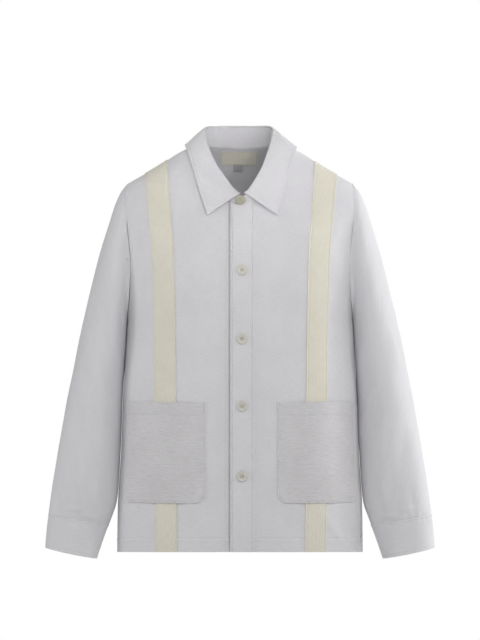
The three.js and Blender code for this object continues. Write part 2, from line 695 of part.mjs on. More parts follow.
// A moulded button with a rounded rim, a dished face and four thread holes, facing +Z
function buttonGeometry() {
  const points = [
    new THREE.Vector2(0, 0),
    ...buttonProfile.map(({ fromEdge, up }) => new THREE.Vector2(button.diameter / 2 - fromEdge, up)),
    new THREE.Vector2(0, button.thickness - button.dish),
  ];
  const disc = facingOut(merged(new THREE.LatheGeometry(points, button.sides)));
  let solid = toManifold(disc.rotateX(Math.PI / 2));
  for (const [sideways, upright] of [[1, 1], [1, -1], [-1, 1], [-1, -1]]) {
    const hole = new THREE.CylinderGeometry(button.holeRadius, button.holeRadius, 4 * button.thickness, 6);
    hole.rotateX(Math.PI / 2);
    hole.translate((sideways * button.holeSpacing) / 2, (upright * button.holeSpacing) / 2, 0);
    solid = solid.subtract(toManifold(hole));
  }
  const mesh = solid.getMesh();
  const geometry = new THREE.BufferGeometry();
  geometry.setAttribute("position", new THREE.BufferAttribute(new Float32Array(mesh.vertProperties), 3));
  geometry.setIndex(new THREE.BufferAttribute(new Uint32Array(mesh.triVerts), 1));
  return facingOut(geometry);
}

// Where a button sits: the top one on the collar stand's end, the others on the button band
function buttonSeat(index) {
  if (index > 0) {
    const { point, normal } = bodyPoint("front", placketEdges.middle, buttonHeights[index]);
    return { point: point.addScaledVector(normal, 2 * seamGap + bandThickness), normal };
  }
  const all = aroundNeck(collarSections);
  const seam = all[0].seam.clone().lerp(all[1].seam, topButton.across);
  const top = all[0].top.clone().lerp(all[1].top, topButton.across);
  const along = all[1].top.clone().sub(all[0].top);
  const out = top.clone().sub(seam).cross(along).normalize();
  if (out.y > 0) out.negate();
  const point = seam.clone().lerp(top, (buttonHeights[0] - seam.z) / (top.z - seam.z));
  return { point: point.addScaledVector(out, standOuter + topButton.thread), normal: out };
}

const garment = new THREE.Group();
garment.position.z = -neckPointHeight;

function addPiece(name, geometry, colour, roughness = 0.9) {
  const material = new THREE.MeshStandardMaterial({ color: colour, roughness, metalness: 0 });
  const mesh = new THREE.Mesh(geometry, material);
  mesh.name = name;
  garment.add(mesh);
  return mesh;
}

addPiece("back", backWall(), colours.cloth);
addPiece("front_left", panelWall("front", frontLines(1), 1), colours.cloth);
addPiece("front_right", panelWall("front", frontLines(-1), -1), colours.cloth);
addPiece("placket", bandWall(overlapLines.slice(0, 4), 1), colours.cloth);
addPiece("stripe_left", bandWall(pocketLines.slice(5, 8), 1), colours.cream);
addPiece("stripe_right", bandWall(pocketLines.slice(5, 8), -1), colours.cream);
addPiece("pocket_left", pocketWall(1), colours.pocketCloth);
addPiece("pocket_right", pocketWall(-1), colours.pocketCloth);
const sleeve = sleeveWall();
addPiece("sleeve_left", sleeve, colours.cloth);
addPiece("sleeve_right", mirrored(sleeve), colours.cloth);
const cuff = cuffWall();
addPiece("cuff_left", cuff, colours.cloth);
addPiece("cuff_right", mirrored(cuff), colours.cloth);
addPiece("collar_stand", standWall(), colours.cloth);
addPiece("collar_leaf", leafWall(), colours.cloth);
addPiece("neck_label", labelWall(neckLabel, neckLabel.top, 0), colours.label);
const tabTop = neckLabel.top - neckLabel.height + tabTuck;
addPiece("size_tab", labelWall(sizeTab, tabTop, neckLabel.thickness + seamGap), colours.tab);

const buttonShape = buttonGeometry();
buttonHeights.forEach((_, index) => {
  const { point, normal } = buttonSeat(index);
  const mesh = addPiece(`button_${index + 1}`, buttonShape, colours.button, 0.45);
  mesh.position.copy(point);
  mesh.quaternion.setFromUnitVectors(new THREE.Vector3(0, 0, 1), normal);
});

export default garment;
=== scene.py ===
# White cotton shirt jacket, filled out as if worn: Blender 4.5 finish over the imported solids.
# Tables are in millimetres, with heights above the hem. Meshes are in metres, hung from the neck point.
import math

import bpy
import numpy as np
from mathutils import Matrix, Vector


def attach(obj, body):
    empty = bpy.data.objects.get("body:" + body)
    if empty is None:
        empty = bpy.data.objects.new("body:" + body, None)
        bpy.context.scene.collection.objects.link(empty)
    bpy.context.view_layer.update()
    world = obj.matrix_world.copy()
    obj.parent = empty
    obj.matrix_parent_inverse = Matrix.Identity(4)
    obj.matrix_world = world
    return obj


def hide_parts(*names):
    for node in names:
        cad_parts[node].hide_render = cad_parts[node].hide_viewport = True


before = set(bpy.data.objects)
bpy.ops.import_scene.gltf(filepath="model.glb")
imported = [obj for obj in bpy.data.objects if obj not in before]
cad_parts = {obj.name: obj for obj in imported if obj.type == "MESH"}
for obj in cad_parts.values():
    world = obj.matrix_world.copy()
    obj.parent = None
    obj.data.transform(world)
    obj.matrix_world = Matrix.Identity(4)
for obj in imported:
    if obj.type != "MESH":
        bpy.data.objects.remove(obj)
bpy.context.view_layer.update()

print("frame loaded")

# Camera: level, straight in front, at the height of the middle of the photo
view = {"distance": 8.0, "height": -0.310, "lens": 257.1, "sensor": 36.0}

cameraData = bpy.data.cameras.new("camera")
cameraData.sensor_fit = "VERTICAL"
cameraData.sensor_height = view["sensor"]
cameraData.lens = view["lens"]
camera = bpy.data.objects.new("camera", cameraData)
camera.location = (0, -view["distance"], view["height"])
camera.rotation_euler = (math.radians(90), 0, 0)
bpy.context.scene.collection.objects.link(camera)
bpy.context.scene.camera = camera


# A dictionary of columns, from their names and the rows of numbers
def table(names, *rows):
    return dict(zip(names.split(), np.array(rows, float).T))


# Cloth, and the body's sizes as the solids have them
cloth = {
    "thickness": 1.5,
    "hemThickness": 2.6,
    "doubleThickness": 2.2,  # cuffs and collar are two layers
    "bandThickness": 0.9,
    "seamGap": 0.3,
    "meshSpacing": 3.8,
    "edgeAngle": 55,  # degrees from which an edge of the cloth is rounded
}

# Half width at the side or armhole seam, and how far front and back stand out from the side seam
body = {
    "roundness": 2.3,
    "sections": table(
        "height side front back",
        (0, 215, 125, 120),
        (73, 214, 126, 117),
        (178, 208, 127, 114),
        (266, 205, 129, 115),
        (336, 201, 130, 119),
        (406, 197, 130, 122),
        (440, 193.5, 130, 123),
        (470, 191.5, 128, 124.5),
        (500, 190.5, 124, 125),
        (558, 195, 107, 122),
        (607, 199.5, 79, 112),
        (630, 199.5, 70, 101),
        (644, 196, 66, 93),
        (649, 188.5, 64, 89),
        (655, 178, 62.5, 84.5),
        (665, 160.5, 59, 77),
        (686, 126.5, 50, 61),
        (696.5, 110.5, 44, 52),
        (706, 92, 38, 43),
        (712, 79, 34, 38),
        (716, 66, 31, 35),
    ),
    "neckPoint": 716,
    "neckHalfWidth": 66,
    "neckHeight": {"front": 605, "back": 707},
    "neckCurve": {"front": 1.5, "back": 2},
    "neckSoften": {"front": 0.09, "back": 0},  # softens the neckline's lowest point
    "armholeLow": 406,
    "armholeHigh": 644,
    "armholeDepth": {"front": 55, "back": 60},
    "hemHeight": 25,
    "hemRise": 6,  # the chest lifts the front hem a little
    "hemRiseBelow": 90,
}
armholeMiddle = (body["armholeLow"] + body["armholeHigh"]) / 2
armholeHalf = (body["armholeHigh"] - body["armholeLow"]) / 2

# Folds of the body: middle in front view, slant from upright towards the side; a minus depth is a ridge
bodyFolds = {
    "front": table(
        "x height halfLength width slant depth",
        (196, 42, 62, 15, -32, 5),
        (168, 345, 150, 20, -3, 3),
        (-170, 380, 170, 22, 3, 3),
        (70, 470, 130, 26, 9, 2.5),
        # finer ones, only here
        (170, 30, 70, 7, -35, -1.8),
        (188, 70, 46, 6, -28, 1.3),
        (-182, 44, 70, 11, 24, 1.6),
        (-160, 36, 50, 7, 14, -1.0),
        (-52, 40, 60, 12, 4, 0.9),
        (48, 46, 56, 10, -5, 0.9),
        (84, 30, 40, 8, 6, -0.7),
        (-104, 26, 38, 8, -6, -0.7),
        (-62, 360, 120, 20, -5, 1.1),
        (52, 330, 90, 15, 5, -0.8),
        (-84, 480, 100, 18, -7, -1.0),
        (100, 560, 70, 12, 12, 0.9),
        (-100, 570, 76, 13, -11, 1.0),
        (-176, 520, 66, 9, -9, 1.6),
        (176, 540, 60, 8, 10, 1.4),
        (-178, 300, 80, 10, 4, -1.0),
        (182, 280, 74, 9, -5, -1.0),
        (40, 590, 36, 8, 30, 0.7),
    ),
    "back": table(
        "x height halfLength width slant depth",
        (92, 330, 250, 34, 5, 7),
        (-100, 350, 230, 32, -4, 6),
        (-8, 560, 120, 40, 0, 3),
        (150, 470, 110, 14, 12, 2.2),
        (-148, 455, 120, 15, -14, 2.4),
        (60, 180, 130, 17, 3, -1.4),
        (-58, 160, 140, 18, -4, -1.3),
        (14, 90, 90, 16, 2, 1.0),
        (-150, 90, 80, 12, -12, 1.4),
        (152, 80, 76, 12, 14, 1.3),
        (40, 640, 60, 12, 22, 1.0),
        (-50, 636, 64, 13, -24, 1.0),
        (176, 250, 90, 10, 5, -1.2),
        (-176, 240, 96, 10, -6, -1.2),
    ),
}

# Slow unevenness of soft cloth: wavelengths along x and z in mm, longer upwards, and its height
unevenness = {"waves": 14, "shortest": 38, "longest": 130, "upright": 0.6, "height": 0.32, "seed": 7}


# Straight mix of two values: start + (end - start) * share
def mix(start, end, share):
    return start + (end - start) * share


# Rises from 0 to 1 with level ends: 3 t^2 - 2 t^3
def eased(t):
    return t * t * (3 - 2 * t)


# Falls from 1 at no distance to 1/e at the width: exp(-(distance / width)^2)
def bell(distance, width):
    return np.exp(-((distance / width) ** 2))


# Vectors divided by their own lengths
def unit(vectors):
    return vectors / np.maximum(np.linalg.norm(vectors, axis=-1, keepdims=True), 1e-12)


# Points moved along directions: points + directions * distance
def moved(points, directions, distance):
    return points + directions * np.asarray(distance)[..., None]


# Arrays that fit one another, side by side in a new last axis
def stacked(*values):
    return np.stack(np.broadcast_arrays(*values), -1)


# Angles round a whole turn: 2 pi k / count
def circle(count):
    return np.linspace(0, 2 * math.pi, count, endpoint=False)


# Number of the value nearest to a place
def nearest(values, at):
    return int(np.argmin(np.abs(values - at)))


# Hermite curve through a table's column. Its slope at a row is the harmonic mean of the rises on both
# sides, or nothing where they differ in sign, so it never overshoots.
def smoothAt(rows, key, column, at):
    x, y = rows[key], rows[column]
    rise = np.diff(y) / np.diff(x)
    before, after = rise[:-1], rise[1:]
    inner = np.zeros(len(x) - 2)
    same = before * after > 0
    inner[same] = 2 * before[same] * after[same] / (before[same] + after[same])
    slope = np.concatenate([rise[:1], inner, rise[-1:]])
    at = np.clip(at, x[0], x[-1])
    k = np.clip(np.searchsorted(x, at, "right") - 1, 0, len(x) - 2)
    span = x[k + 1] - x[k]
    t = (at - x[k]) / span
    leave = t * (1 - t) ** 2 * span
    arrive = -t * t * (1 - t) * span
    return mix(y[k], y[k + 1], eased(t)) + slope[k] * leave + slope[k + 1] * arrive


# A size of the body's section at a height
def sectionAt(column, height):
    return smoothAt(body["sections"], "height", column, height)


# Half width of the body at the side or armhole seam
def sideAt(height):
    return sectionAt("side", height)


# Distance of the armhole seam from the side plane: an ellipse from underarm to shoulder point
def armholeDepth(panel, height):
    share = np.clip((height - armholeMiddle) / armholeHalf, -1, 1)
    return body["armholeDepth"][panel] * np.sqrt(1 - share**2)


# Half width of the whole rounded section, of which the armhole cuts off the ends
def sectionHalfWidth(panel, height):
    power = body["roundness"]
    cut = (armholeDepth(panel, height) / sectionAt(panel, height)) ** power
    return sideAt(height) / (1 - cut) ** (1 / power)


# Each fold: depth * exp(-(across / width)^2) * (1 - (along / halfLength)^2)^2
def foldDepth(folds, x, height):
    total = 0
    for middleX, middleZ, halfLength, width, slant, depth in zip(*folds.values()):
        slant = math.radians(slant)
        right, up = x - middleX, height - middleZ
        along = up * math.cos(slant) + right * math.sin(slant)
        across = right * math.cos(slant) - up * math.sin(slant)
        total = total + depth * bell(across, width) * np.clip(1 - (along / halfLength) ** 2, 0, 1) ** 2
    return total


# Sum of sine waves with seeded directions, lengths and starts
def uneven(u, v, seed, height=unevenness["height"]):
    random = np.random.default_rng(unevenness["seed"] + seed)
    total = 0
    for _ in range(unevenness["waves"]):
        length = random.uniform(unevenness["shortest"], unevenness["longest"])
        turn, start = random.uniform(0, math.pi), random.uniform(0, 2 * math.pi)
        along = u * math.cos(turn) + v * math.sin(turn) * unevenness["upright"]
        total = total + np.sin(2 * math.pi * along / length + start)
    return total * height / math.sqrt(unevenness["waves"] / 2)


# Value that is 1 on the body's surface: (|x| / halfWidth)^roundness + (|y| / standOut)^roundness
def sectionValue(panel, x, y, height):
    wide = np.abs(x) / sectionHalfWidth(panel, height)
    deep = np.clip(np.abs(y) - cloth["seamGap"] / 2, 0, None) / sectionAt(panel, height)
    return wide ** body["roundness"] + deep ** body["roundness"]


# Points on the outer surface for arrays of x and height, and the directions out of it
def bodySurface(panel, x, height):
    x, height = np.broadcast_arrays(np.asarray(x, float), np.asarray(height, float))
    power, front = body["roundness"], panel == "front"
    reach = sectionAt(panel, height)
    wide = np.clip(np.abs(x) / sectionHalfWidth(panel, height), 0, 1)
    depth = reach * (1 - wide**power) ** (1 / power)
    y = (-1 if front else 1) * (depth + cloth["seamGap"] / 2)
    step = 0.4  # mm on each side, for the slopes of the section's value

    # the value a step ahead less the value a step behind
    def slope(dx, dy, dz):
        ahead = sectionValue(panel, x + dx, y + dy, height + dz)
        return ahead - sectionValue(panel, x - dx, y - dy, height - dz)

    normals = unit(np.stack([slope(step, 0, 0), slope(0, step, 0), slope(0, 0, step)], -1))
    nearSeam = np.clip(depth / 30, 0, 1)
    sunk = foldDepth(bodyFolds[panel], x, height) + uneven(x, height, 0 if front else 1) * nearSeam
    points = moved(np.stack([x, y, height], -1), normals, -sunk)
    if front:
        lift = body["hemRise"] * np.clip(1 - height / body["hemRiseBelow"], 0, None)
        points[..., 2] += lift * depth / reach
    return points, normals


shoulderHeights = np.linspace(body["armholeHigh"], body["neckPoint"], 1500)
shoulderSides = sideAt(shoulderHeights)


# Height of a panel's top edge: a neckline of |x|^curve form, and the shoulder seam past the neck point
def topHeight(panel, x):
    x, soften = np.abs(x), body["neckSoften"][panel]
    curve, rise = body["neckCurve"][panel], body["neckPoint"] - body["neckHeight"][panel]
    wide = (np.hypot(x / body["neckHalfWidth"], soften) - soften) / (math.hypot(1, soften) - soften)
    share = np.clip(1 - np.clip(wide, 0, 1) ** curve, 0, 1) ** (1 / curve)
    shoulder = np.interp(x, shoulderSides[::-1], shoulderHeights[::-1])
    return np.where(x < body["neckHalfWidth"], body["neckPoint"] - rise * share, shoulder)


# Quads of a grid whose vertices are numbered column by column
def gridQuads(columns, rows, loop):
    i = np.arange(columns if loop else columns - 1)[:, None]
    j = np.arange(rows - 1)[None, :]
    here, beside = i * rows + j, (i + 1) % columns * rows + j
    return stacked(here, beside, beside + 1, here + 1).reshape(-1, 4)


# A smooth mesh of quads that rides on the root: metres = (mm - [0, 0, neckPoint]) / 1000
def meshObject(name, points, quads, material, uv=None):
    mesh = bpy.data.meshes.new(name)
    metres = (np.asarray(points, float) - [0, 0, body["neckPoint"]]) * 0.001
    mesh.vertices.add(len(points))
    mesh.vertices.foreach_set("co", metres.ravel())
    mesh.loops.add(quads.size)
    mesh.loops.foreach_set("vertex_index", quads.ravel().astype(np.int32))
    mesh.polygons.add(len(quads))
    mesh.polygons.foreach_set("loop_start", np.arange(len(quads), dtype=np.int32) * 4)
    mesh.polygons.foreach_set("use_smooth", np.full(len(quads), True))
    mesh.update(calc_edges=True)
    if uv is not None:
        layer = mesh.uv_layers.new(name="cut")
        layer.data.foreach_set("uv", (uv[quads.ravel()] * 0.001).ravel())
    mesh.validate()
    piece = bpy.data.objects.new(name, mesh)
    bpy.context.scene.collection.objects.link(piece)
    mesh.materials.append(material)
    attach(piece, "root")
    return piece


# Turns every quad round if they enclose a negative volume
def facingOut(points, quads):
    a, b, c, d = (points[quads[:, k]] for k in range(4))
    volume = np.einsum("ij,ij->", a, np.cross(b, c)) + np.einsum("ij,ij->", a, np.cross(c, d))
    return quads if volume > 0 else quads[:, ::-1]


# Distance along a grid's rows or columns from its start, by adding up the steps
def runningLength(points, axis):
    steps = np.linalg.norm(np.diff(points, axis=axis), axis=-1)
    return np.concatenate([np.zeros_like(np.take(steps, [0], axis)), np.cumsum(steps, axis)], axis)


# A closed wall of cloth between two grids of points (columns x rows x 3), with rounded edges
def clothWall(name, outer, inner, material, slot, uv=None, loop=False, edge=0.5):
    columns, rows = outer.shape[:2]
    points = np.concatenate([outer.reshape(-1, 3), inner.reshape(-1, 3)])
    if uv is None:
        uv = np.stack([runningLength(outer, 0), runningLength(outer, 1)], -1)
    uv = np.concatenate([uv.reshape(-1, 2)] * 2)
    face = gridQuads(columns, rows, loop)
    back = face[:, ::-1] + columns * rows
    i = np.arange(columns if loop else columns - 1)
    low, lowNext = i * rows, (i + 1) % columns * rows
    high, highNext = low + rows - 1, lowNext + rows - 1
    under = columns * rows
    strips = [
        np.stack([low, low + under, lowNext + under, lowNext], -1),
        np.stack([high, highNext, highNext + under, high + under], -1),
    ]
    if not loop:
        j = np.arange(rows - 1)
        end = (columns - 1) * rows + j
        strips += [
            np.stack([j, j + 1, j + 1 + under, j + under], -1),
            np.stack([end, end + under, end + 1 + under, end + 1], -1),
        ]
    quads = facingOut(points, np.concatenate([face, back, *strips]))
    piece = meshObject(name, points, quads, material, uv)
    bevel = piece.modifiers.new("rounded edge", "BEVEL")
    bevel.width = edge * 0.001
    bevel.segments = 2
    bevel.limit_method = "ANGLE"
    bevel.angle_limit = math.radians(cloth["edgeAngle"])
    return piece


# Normals of a grid from the steps across and along it
def gridNormals(points, loop, away):
    across = np.roll(points, -1, 0) - np.roll(points, 1, 0) if loop else np.gradient(points, axis=0)
    normals = unit(np.cross(across, np.gradient(points, axis=1)))
    return normals if np.sum(normals * (points - away)) > 0 else -normals


# Groove that a sewn line presses into the cloth, with the cloth swelling softly beside it
def seamDent(distance, depth, width=1.0):
    return depth * (bell(distance, width) - 0.35 * bell(np.abs(distance) - 2.4 * width, width))


# Small puckers along a sewn line, fading away from it: three sine waves with seeded lengths and starts
def pucker(distance, along, seed, height, reach=7.0):
    random = np.random.default_rng(seed)
    total = 0
    for length in (9.0, 14.0, 23.0):
        length, start = length * random.uniform(0.85, 1.15), random.uniform(0, 6.28)
        total = total + np.sin(2 * math.pi * along / length + start)
    return height * total * bell(distance, reach) / 1.7


# Stitches: one short bent capsule for each, along a path on the cloth
thread = {"length": 2.5, "gap": 0.9, "radius": 0.26, "rise": 0.12, "ends": 0.35, "sides": 6, "rings": 5}


# Stitches of one row: rings of radius * sqrt(1 - (2 share - 1)^4) round the path, whose middle stands
# rise - ends * |2 share - 1|^3 over the cloth
def stitchRow(path, normals):
    keep = np.concatenate([[True], np.linalg.norm(np.diff(path, axis=0), axis=1) > 1e-6])
    path, normals = path[keep], normals[keep]
    run = runningLength(path, 0)
    starts = np.arange(thread["gap"], run[-1] - thread["length"], thread["length"] + thread["gap"])
    share = np.linspace(0, 1, thread["rings"])
    at = starts[:, None] + share * thread["length"]

    # values of the path by the distance along it
    def along(values):
        return np.stack([np.interp(at, run, values[:, k]) for k in range(3)], -1)

    middle, up = along(path), unit(along(normals))
    side = np.cross(unit(np.gradient(middle, axis=1)), up)
    toEnd = np.abs(2 * share - 1)
    girth = thread["radius"] * np.sqrt(np.clip(1 - toEnd**4, 0.04, 1))[None, :, None]
    middle = moved(middle, up, thread["rise"] - thread["ends"] * toEnd**3)
    turn = circle(thread["sides"])
    ring = moved(middle[:, :, None], side[:, :, None], girth * np.cos(turn))
    ring = moved(ring, up[:, :, None], girth * np.sin(turn))
    count, rings, sides = ring.shape[:3]
    quads = gridQuads(sides, rings, True)
    quads = quads % rings * sides + quads // rings  # numbered side by side, so swap to ring by ring
    caps = np.array([[0, 1, 2, 3], [0, 3, 4, 5]])
    quads = np.concatenate([quads, caps, caps[:, ::-1] + (rings - 1) * sides])
    return ring.reshape(-1, 3), repeated(quads, count, rings * sides)


# The same faces for each of count copies: quads + copy * vertices
def repeated(quads, count, vertices):
    return (quads[None] + (np.arange(count) * vertices)[:, None, None]).reshape(-1, 4)


# All rows of stitches of one piece, as one mesh
def stitching(name, rows, material):
    points, quads, start = [], [], 0
    for path, normals in rows:
        p, q = stitchRow(path, normals)
        points.append(p)
        quads.append(facingOut(p, q) + start)
        start += len(p)
    piece = meshObject(name, np.concatenate(points), np.concatenate(quads), material)
    return piece


# Linear colour of an sRGB hex code: v / 12.92 where it is small, else ((v + 0.055) / 1.055)^2.4
def srgb(code):
    values = [int(code[k : k + 2], 16) / 255 for k in (1, 3, 5)]
    return (*[v / 12.92 if v <= 0.04045 else ((v + 0.055) / 1.055) ** 2.4 for v in values], 1)


# A node with its settings, and values or links for its inputs by name, or by number as i0, i1, ...
def addNode(tree, kind, settings=None, **inputs):
    node = tree.nodes.new(kind)
    for key, value in (settings or {}).items():
        setattr(node, key, value)
    for key, value in inputs.items():
        numbered = key[0] == "i" and key[1:].isdigit()
        socket = node.inputs[int(key[1:]) if numbered else key.replace("_", " ")]
        if isinstance(value, bpy.types.NodeSocket):
            tree.links.new(value, socket)
        else:
            socket.default_value = value
    return node


# A material of one Principled shader, with values for its sockets
def newMaterial(name, **values):
    material = bpy.data.materials.new(name)
    material.use_nodes = True
    tree = material.node_tree
    tree.nodes.clear()
    shader = addNode(tree, "ShaderNodeBsdfPrincipled", None, **values)
    addNode(tree, "ShaderNodeOutputMaterial", None, Surface=shader.outputs[0])
    return material, tree, shader


# Colour from shade to colour by a factor, and bumps of (height, strength, distance) one over another
def dressShader(tree, shader, factor, shade, colour, bumps):
    tones = {"i6": srgb(shade), "i7": srgb(colour)}
    mixed = addNode(tree, "ShaderNodeMix", {"data_type": "RGBA"}, Factor=factor, **tones)
    tree.links.new(mixed.outputs[2], shader.inputs["Base Color"])
    values = {}
    for height, strength, distance in bumps:
        values.update(Height=height, Strength=strength, Distance=distance)
        bump = addNode(tree, "ShaderNodeBump", None, **values)
        values["Normal"] = bump.outputs[0]
    tree.links.new(bump.outputs[0], shader.inputs["Normal"])


# The real cloth's threads are 0.4 mm apart; they are drawn about 1 mm apart so that they show
weave = {"scale": 900 / (2 * math.pi) * 0.9, "strength": 0.25, "depth": 0.0002}


# Cotton cloth: fine slubs run along the cloth's own width, and a crinkle stands a little proud of it.
# Slub and crinkle are each length and height in m, strength, and depth in m.
def cottonMaterial(name, colour, shade, slub, crinkle, roughness=0.92, sheen=0.25):
    material, tree, shader = newMaterial(
        name, Roughness=roughness, Sheen_Weight=sheen, Sheen_Roughness=0.5, Specular_IOR_Level=0.25
    )
    place = addNode(tree, "ShaderNodeUVMap", {"uv_map": "cut"}).outputs[0]

    # noise as long and high as the sizes, on the cloth's own cut
    def grain(sizes, **values):
        scale = (1 / sizes[0], 1 / sizes[1], 1)
        stretched = addNode(tree, "ShaderNodeMapping", None, Vector=place, Scale=scale).outputs[0]
        return addNode(tree, "ShaderNodeTexNoise", None, Vector=stretched, Scale=1.0, **values).outputs["Fac"]

    slubs = grain(slub, Detail=3.0, Roughness=0.6)
    creases = grain(crinkle, Detail=2.0, Roughness=0.5, Distortion=0.6)
    cloudy = addNode(tree, "ShaderNodeTexNoise", None, Vector=place, Scale=14.0, Detail=2.0).outputs["Fac"]
    streaks = addNode(tree, "ShaderNodeMath", {"operation": "MULTIPLY"}, i0=slubs, i1=0.6).outputs[0]
    blending = {"i0": cloudy, "i1": 0.4, "i2": streaks}
    blend = addNode(tree, "ShaderNodeMath", {"operation": "MULTIPLY_ADD"}, **blending).outputs[0]
    tone = addNode(tree, "ShaderNodeMapRange", None, Value=blend, From_Min=0.35, From_Max=0.65).outputs[0]
    wave = {"Vector": place, "Scale": weave["scale"], "Distortion": 0.6, "Detail": 1.0}
    warp, weft = (addNode(tree, "ShaderNodeTexWave", {"bands_direction": way}, **wave) for way in "XY")
    both = {"i0": warp.outputs["Fac"], "i1": weft.outputs["Fac"]}
    crossed = addNode(tree, "ShaderNodeMath", {"operation": "MAXIMUM"}, **both).outputs[0]
    bumps = [(crossed, weave["strength"], weave["depth"]), (slubs, *slub[2:]), (creases, *crinkle[2:])]
    dressShader(tree, shader, tone, shade, colour, bumps)
    return material


# White shirting cotton, washed once: matte, a faint violet cast in its shade, soft slubs across
shirtCotton = cottonMaterial(
    "washed white shirting cotton", "#e7e6e9", "#dddcdf",
    slub=(0.010, 0.0016, 0.25, 0.0006), crinkle=(0.024, 0.012, 0.3, 0.0015),
)
# Rougher looped cotton of the pockets: short raised flecks lie across it and catch the light
pocketCotton = cottonMaterial(
    "looped white pocket cotton", "#e1dfe1", "#d2d0d2",
    slub=(0.013, 0.0025, 0.6, 0.0013), crinkle=(0.030, 0.006, 0.4, 0.0016), roughness=0.97, sheen=0.35,
)
# Cream woven band: denser, with fine ribs down its length
creamCotton = cottonMaterial(
    "cream ribbed band cotton", "#ece9db", "#e2dece",
    slub=(0.0016, 0.012, 0.35, 0.0006), crinkle=(0.02, 0.03, 0.25, 0.0012),
)
# Bare woven satin of the neck label: smoother than the cloth, with a low gloss. Its own taupe is painted
# lighter, near white, as painted light for the light the inside of the neck lacks
paintedLightLabelSatin = cottonMaterial(
    "taupe label satin lightened with painted light", "#f4f2e6", "#eae7d8",
    slub=(0.006, 0.0007, 0.3, 0.0003), crinkle=(0.02, 0.02, 0.1, 0.0006), roughness=0.6, sheen=0.1,
)
# Duller grey tape of the size tab
sizeTape = cottonMaterial(
    "bare grey size tape", "#c9c7c3", "#bcbab5",
    slub=(0.004, 0.0006, 0.3, 0.0003), crinkle=(0.02, 0.02, 0.1, 0.0006), roughness=0.7, sheen=0.1,
)


# A noise pattern in the material on Object coordinates
def speckle(tree, scale, detail, distortion=0.0):
    place = addNode(tree, "ShaderNodeTexCoord").outputs["Object"]
    values = {"Scale": scale, "Detail": detail, "Distortion": distortion}
    return addNode(tree, "ShaderNodeTexNoise", None, Vector=place, **values).outputs["Fac"]


# Spun polyester thread: slightly brighter than the cloth, with a soft gloss and a twist along it
def threadMaterial(name, colour, shade):
    material, tree, shader = newMaterial(name, Roughness=0.55)
    strands = speckle(tree, 2500.0, 2.0)
    dressShader(tree, shader, strands, shade, colour, [(strands, 0.4, 0.0001)])
    return material


whiteThread = threadMaterial("white spun thread", "#eeeef2", "#dcdce2")
creamThread = threadMaterial("cream spun thread", "#f0ecd8", "#e0dbc2")
labelThread = threadMaterial("olive label thread", "#9a978a", "#868375")
buttonThread = threadMaterial("cream button thread", "#d9d6ca", "#cbc8bb")


# Urea buttons, moulded and tumbled: creamy, faintly clouded, softly glossy on the rim
def buttonMaterial(name, colour, shade):
    material, tree, shader = newMaterial(name, Roughness=0.38, Coat_Weight=0.15)
    bumps = [(speckle(tree, 900.0, 2.0), 0.15, 0.0001)]
    dressShader(tree, shader, speckle(tree, 180.0, 3.0, 1.2), shade, colour, bumps)
    return material


buttonResin = buttonMaterial("clouded cream button resin", "#e0ded5", "#cecbc1")
# the top button's copy of the cream resin is darkened to olive: painted shade of the collar leaf over it
shadedTopButtonResin = buttonMaterial("cream button resin with painted shade", "#c2bfae", "#a9a694")
print("materials made")

# Fronts and back
frontShift = 1.8  # bands and pockets sit this far towards the wearer's left
lap = {
    "free": -16.6, "middle": 3.5, "sewn": 23.6, "inside": 19, "clear": 31,
    # how the right front sinks under the left one and beside the button band
    "depth": 3.1, "fade": 14, "groove": 2.6, "grooveIn": 0.9, "grooveWidth": 1.6,
}
hem = {"rows": (-3.2, -2, -1, 0, 1, 2, 3.2), "clear": 4.2, "dent": 0.5, "full": 0.5, "fullAt": 3.4}
stripeEdges = table("height inner outer", (0, 110.5, 146.5), (350, 112.7, 149.8), (525, 116.2, 154))
stripeTop = {"inner": 129, "outer": 167}
pocket = {
    "bottom": 90, "top": 264.5, "hem": 22, "inner": 62.8, "corner": 18,
    "sideFraction": 0.608, "cornerFraction": 0.454, "thickness": 1.3, "hemThickness": 2.2,
    "bulge": 1.6, "gape": 0.6, "stitchInset": 2.2,
    "dent": 0.55, "hemDent": 0.2, "pucker": 0.3, "hemPucker": 0.2, "rolled": 0.5, "wavy": 0.25,
    "ramps": (22, 18), "lift": 0.3, "tackAt": 3.2, "tackHalf": 3, "tackDown": 2.2,
}

# Upright lines of the panels: place below the armhole's middle and at the neckline or shoulder seam
pocketLow = [pocket["inner"] + pocket["corner"] * k for k in (0, 0.3, 0.6, 1)] + [96]
pocketTopX = [54.5, 62.6, 65.3, body["neckHalfWidth"], 99]


# The lines from number "ahead" on move with the bands and pockets
def frontLines(mirror, *sewn):
    edge = [lap["free"], lap["middle"], lap["inside"], *sewn, lap["clear"]]
    return {
        "panel": "front", "mirror": mirror, "ahead": len(edge) + 1,
        "low": edge + [43] + pocketLow, "top": edge + [41.6] + pocketTopX,
    }


panelLines = {
    "front_left": frontLines(1, lap["sewn"]),
    "front_right": frontLines(-1),
    "back": {
        "panel": "back", "mirror": 1,
        "low": [0, 22, 44, 58, 70, 88, 108, 129, 150],
        "top": [0, 22, 44, 58, body["neckHalfWidth"], 88, 110, 131, 150],
    },
}


# Rows: heights up to the underarm, then a cosine up the armhole, whose upper half is a share of the
# way from the armhole's middle to the top edge
def panelRows(spacing):
    low = np.arange(0, body["armholeLow"], spacing)
    low = low[np.abs(low - body["hemHeight"]) > hem["clear"]]
    low = np.sort(np.concatenate([low, body["hemHeight"] + np.array(hem["rows"])]))
    share = -np.cos(np.linspace(0, math.pi, int(math.pi * armholeHalf / spacing * 0.85)))
    heights = np.concatenate([low, armholeMiddle + armholeHalf * np.minimum(0, share)])
    return heights, np.concatenate([np.zeros(len(low)), np.maximum(0, share)])


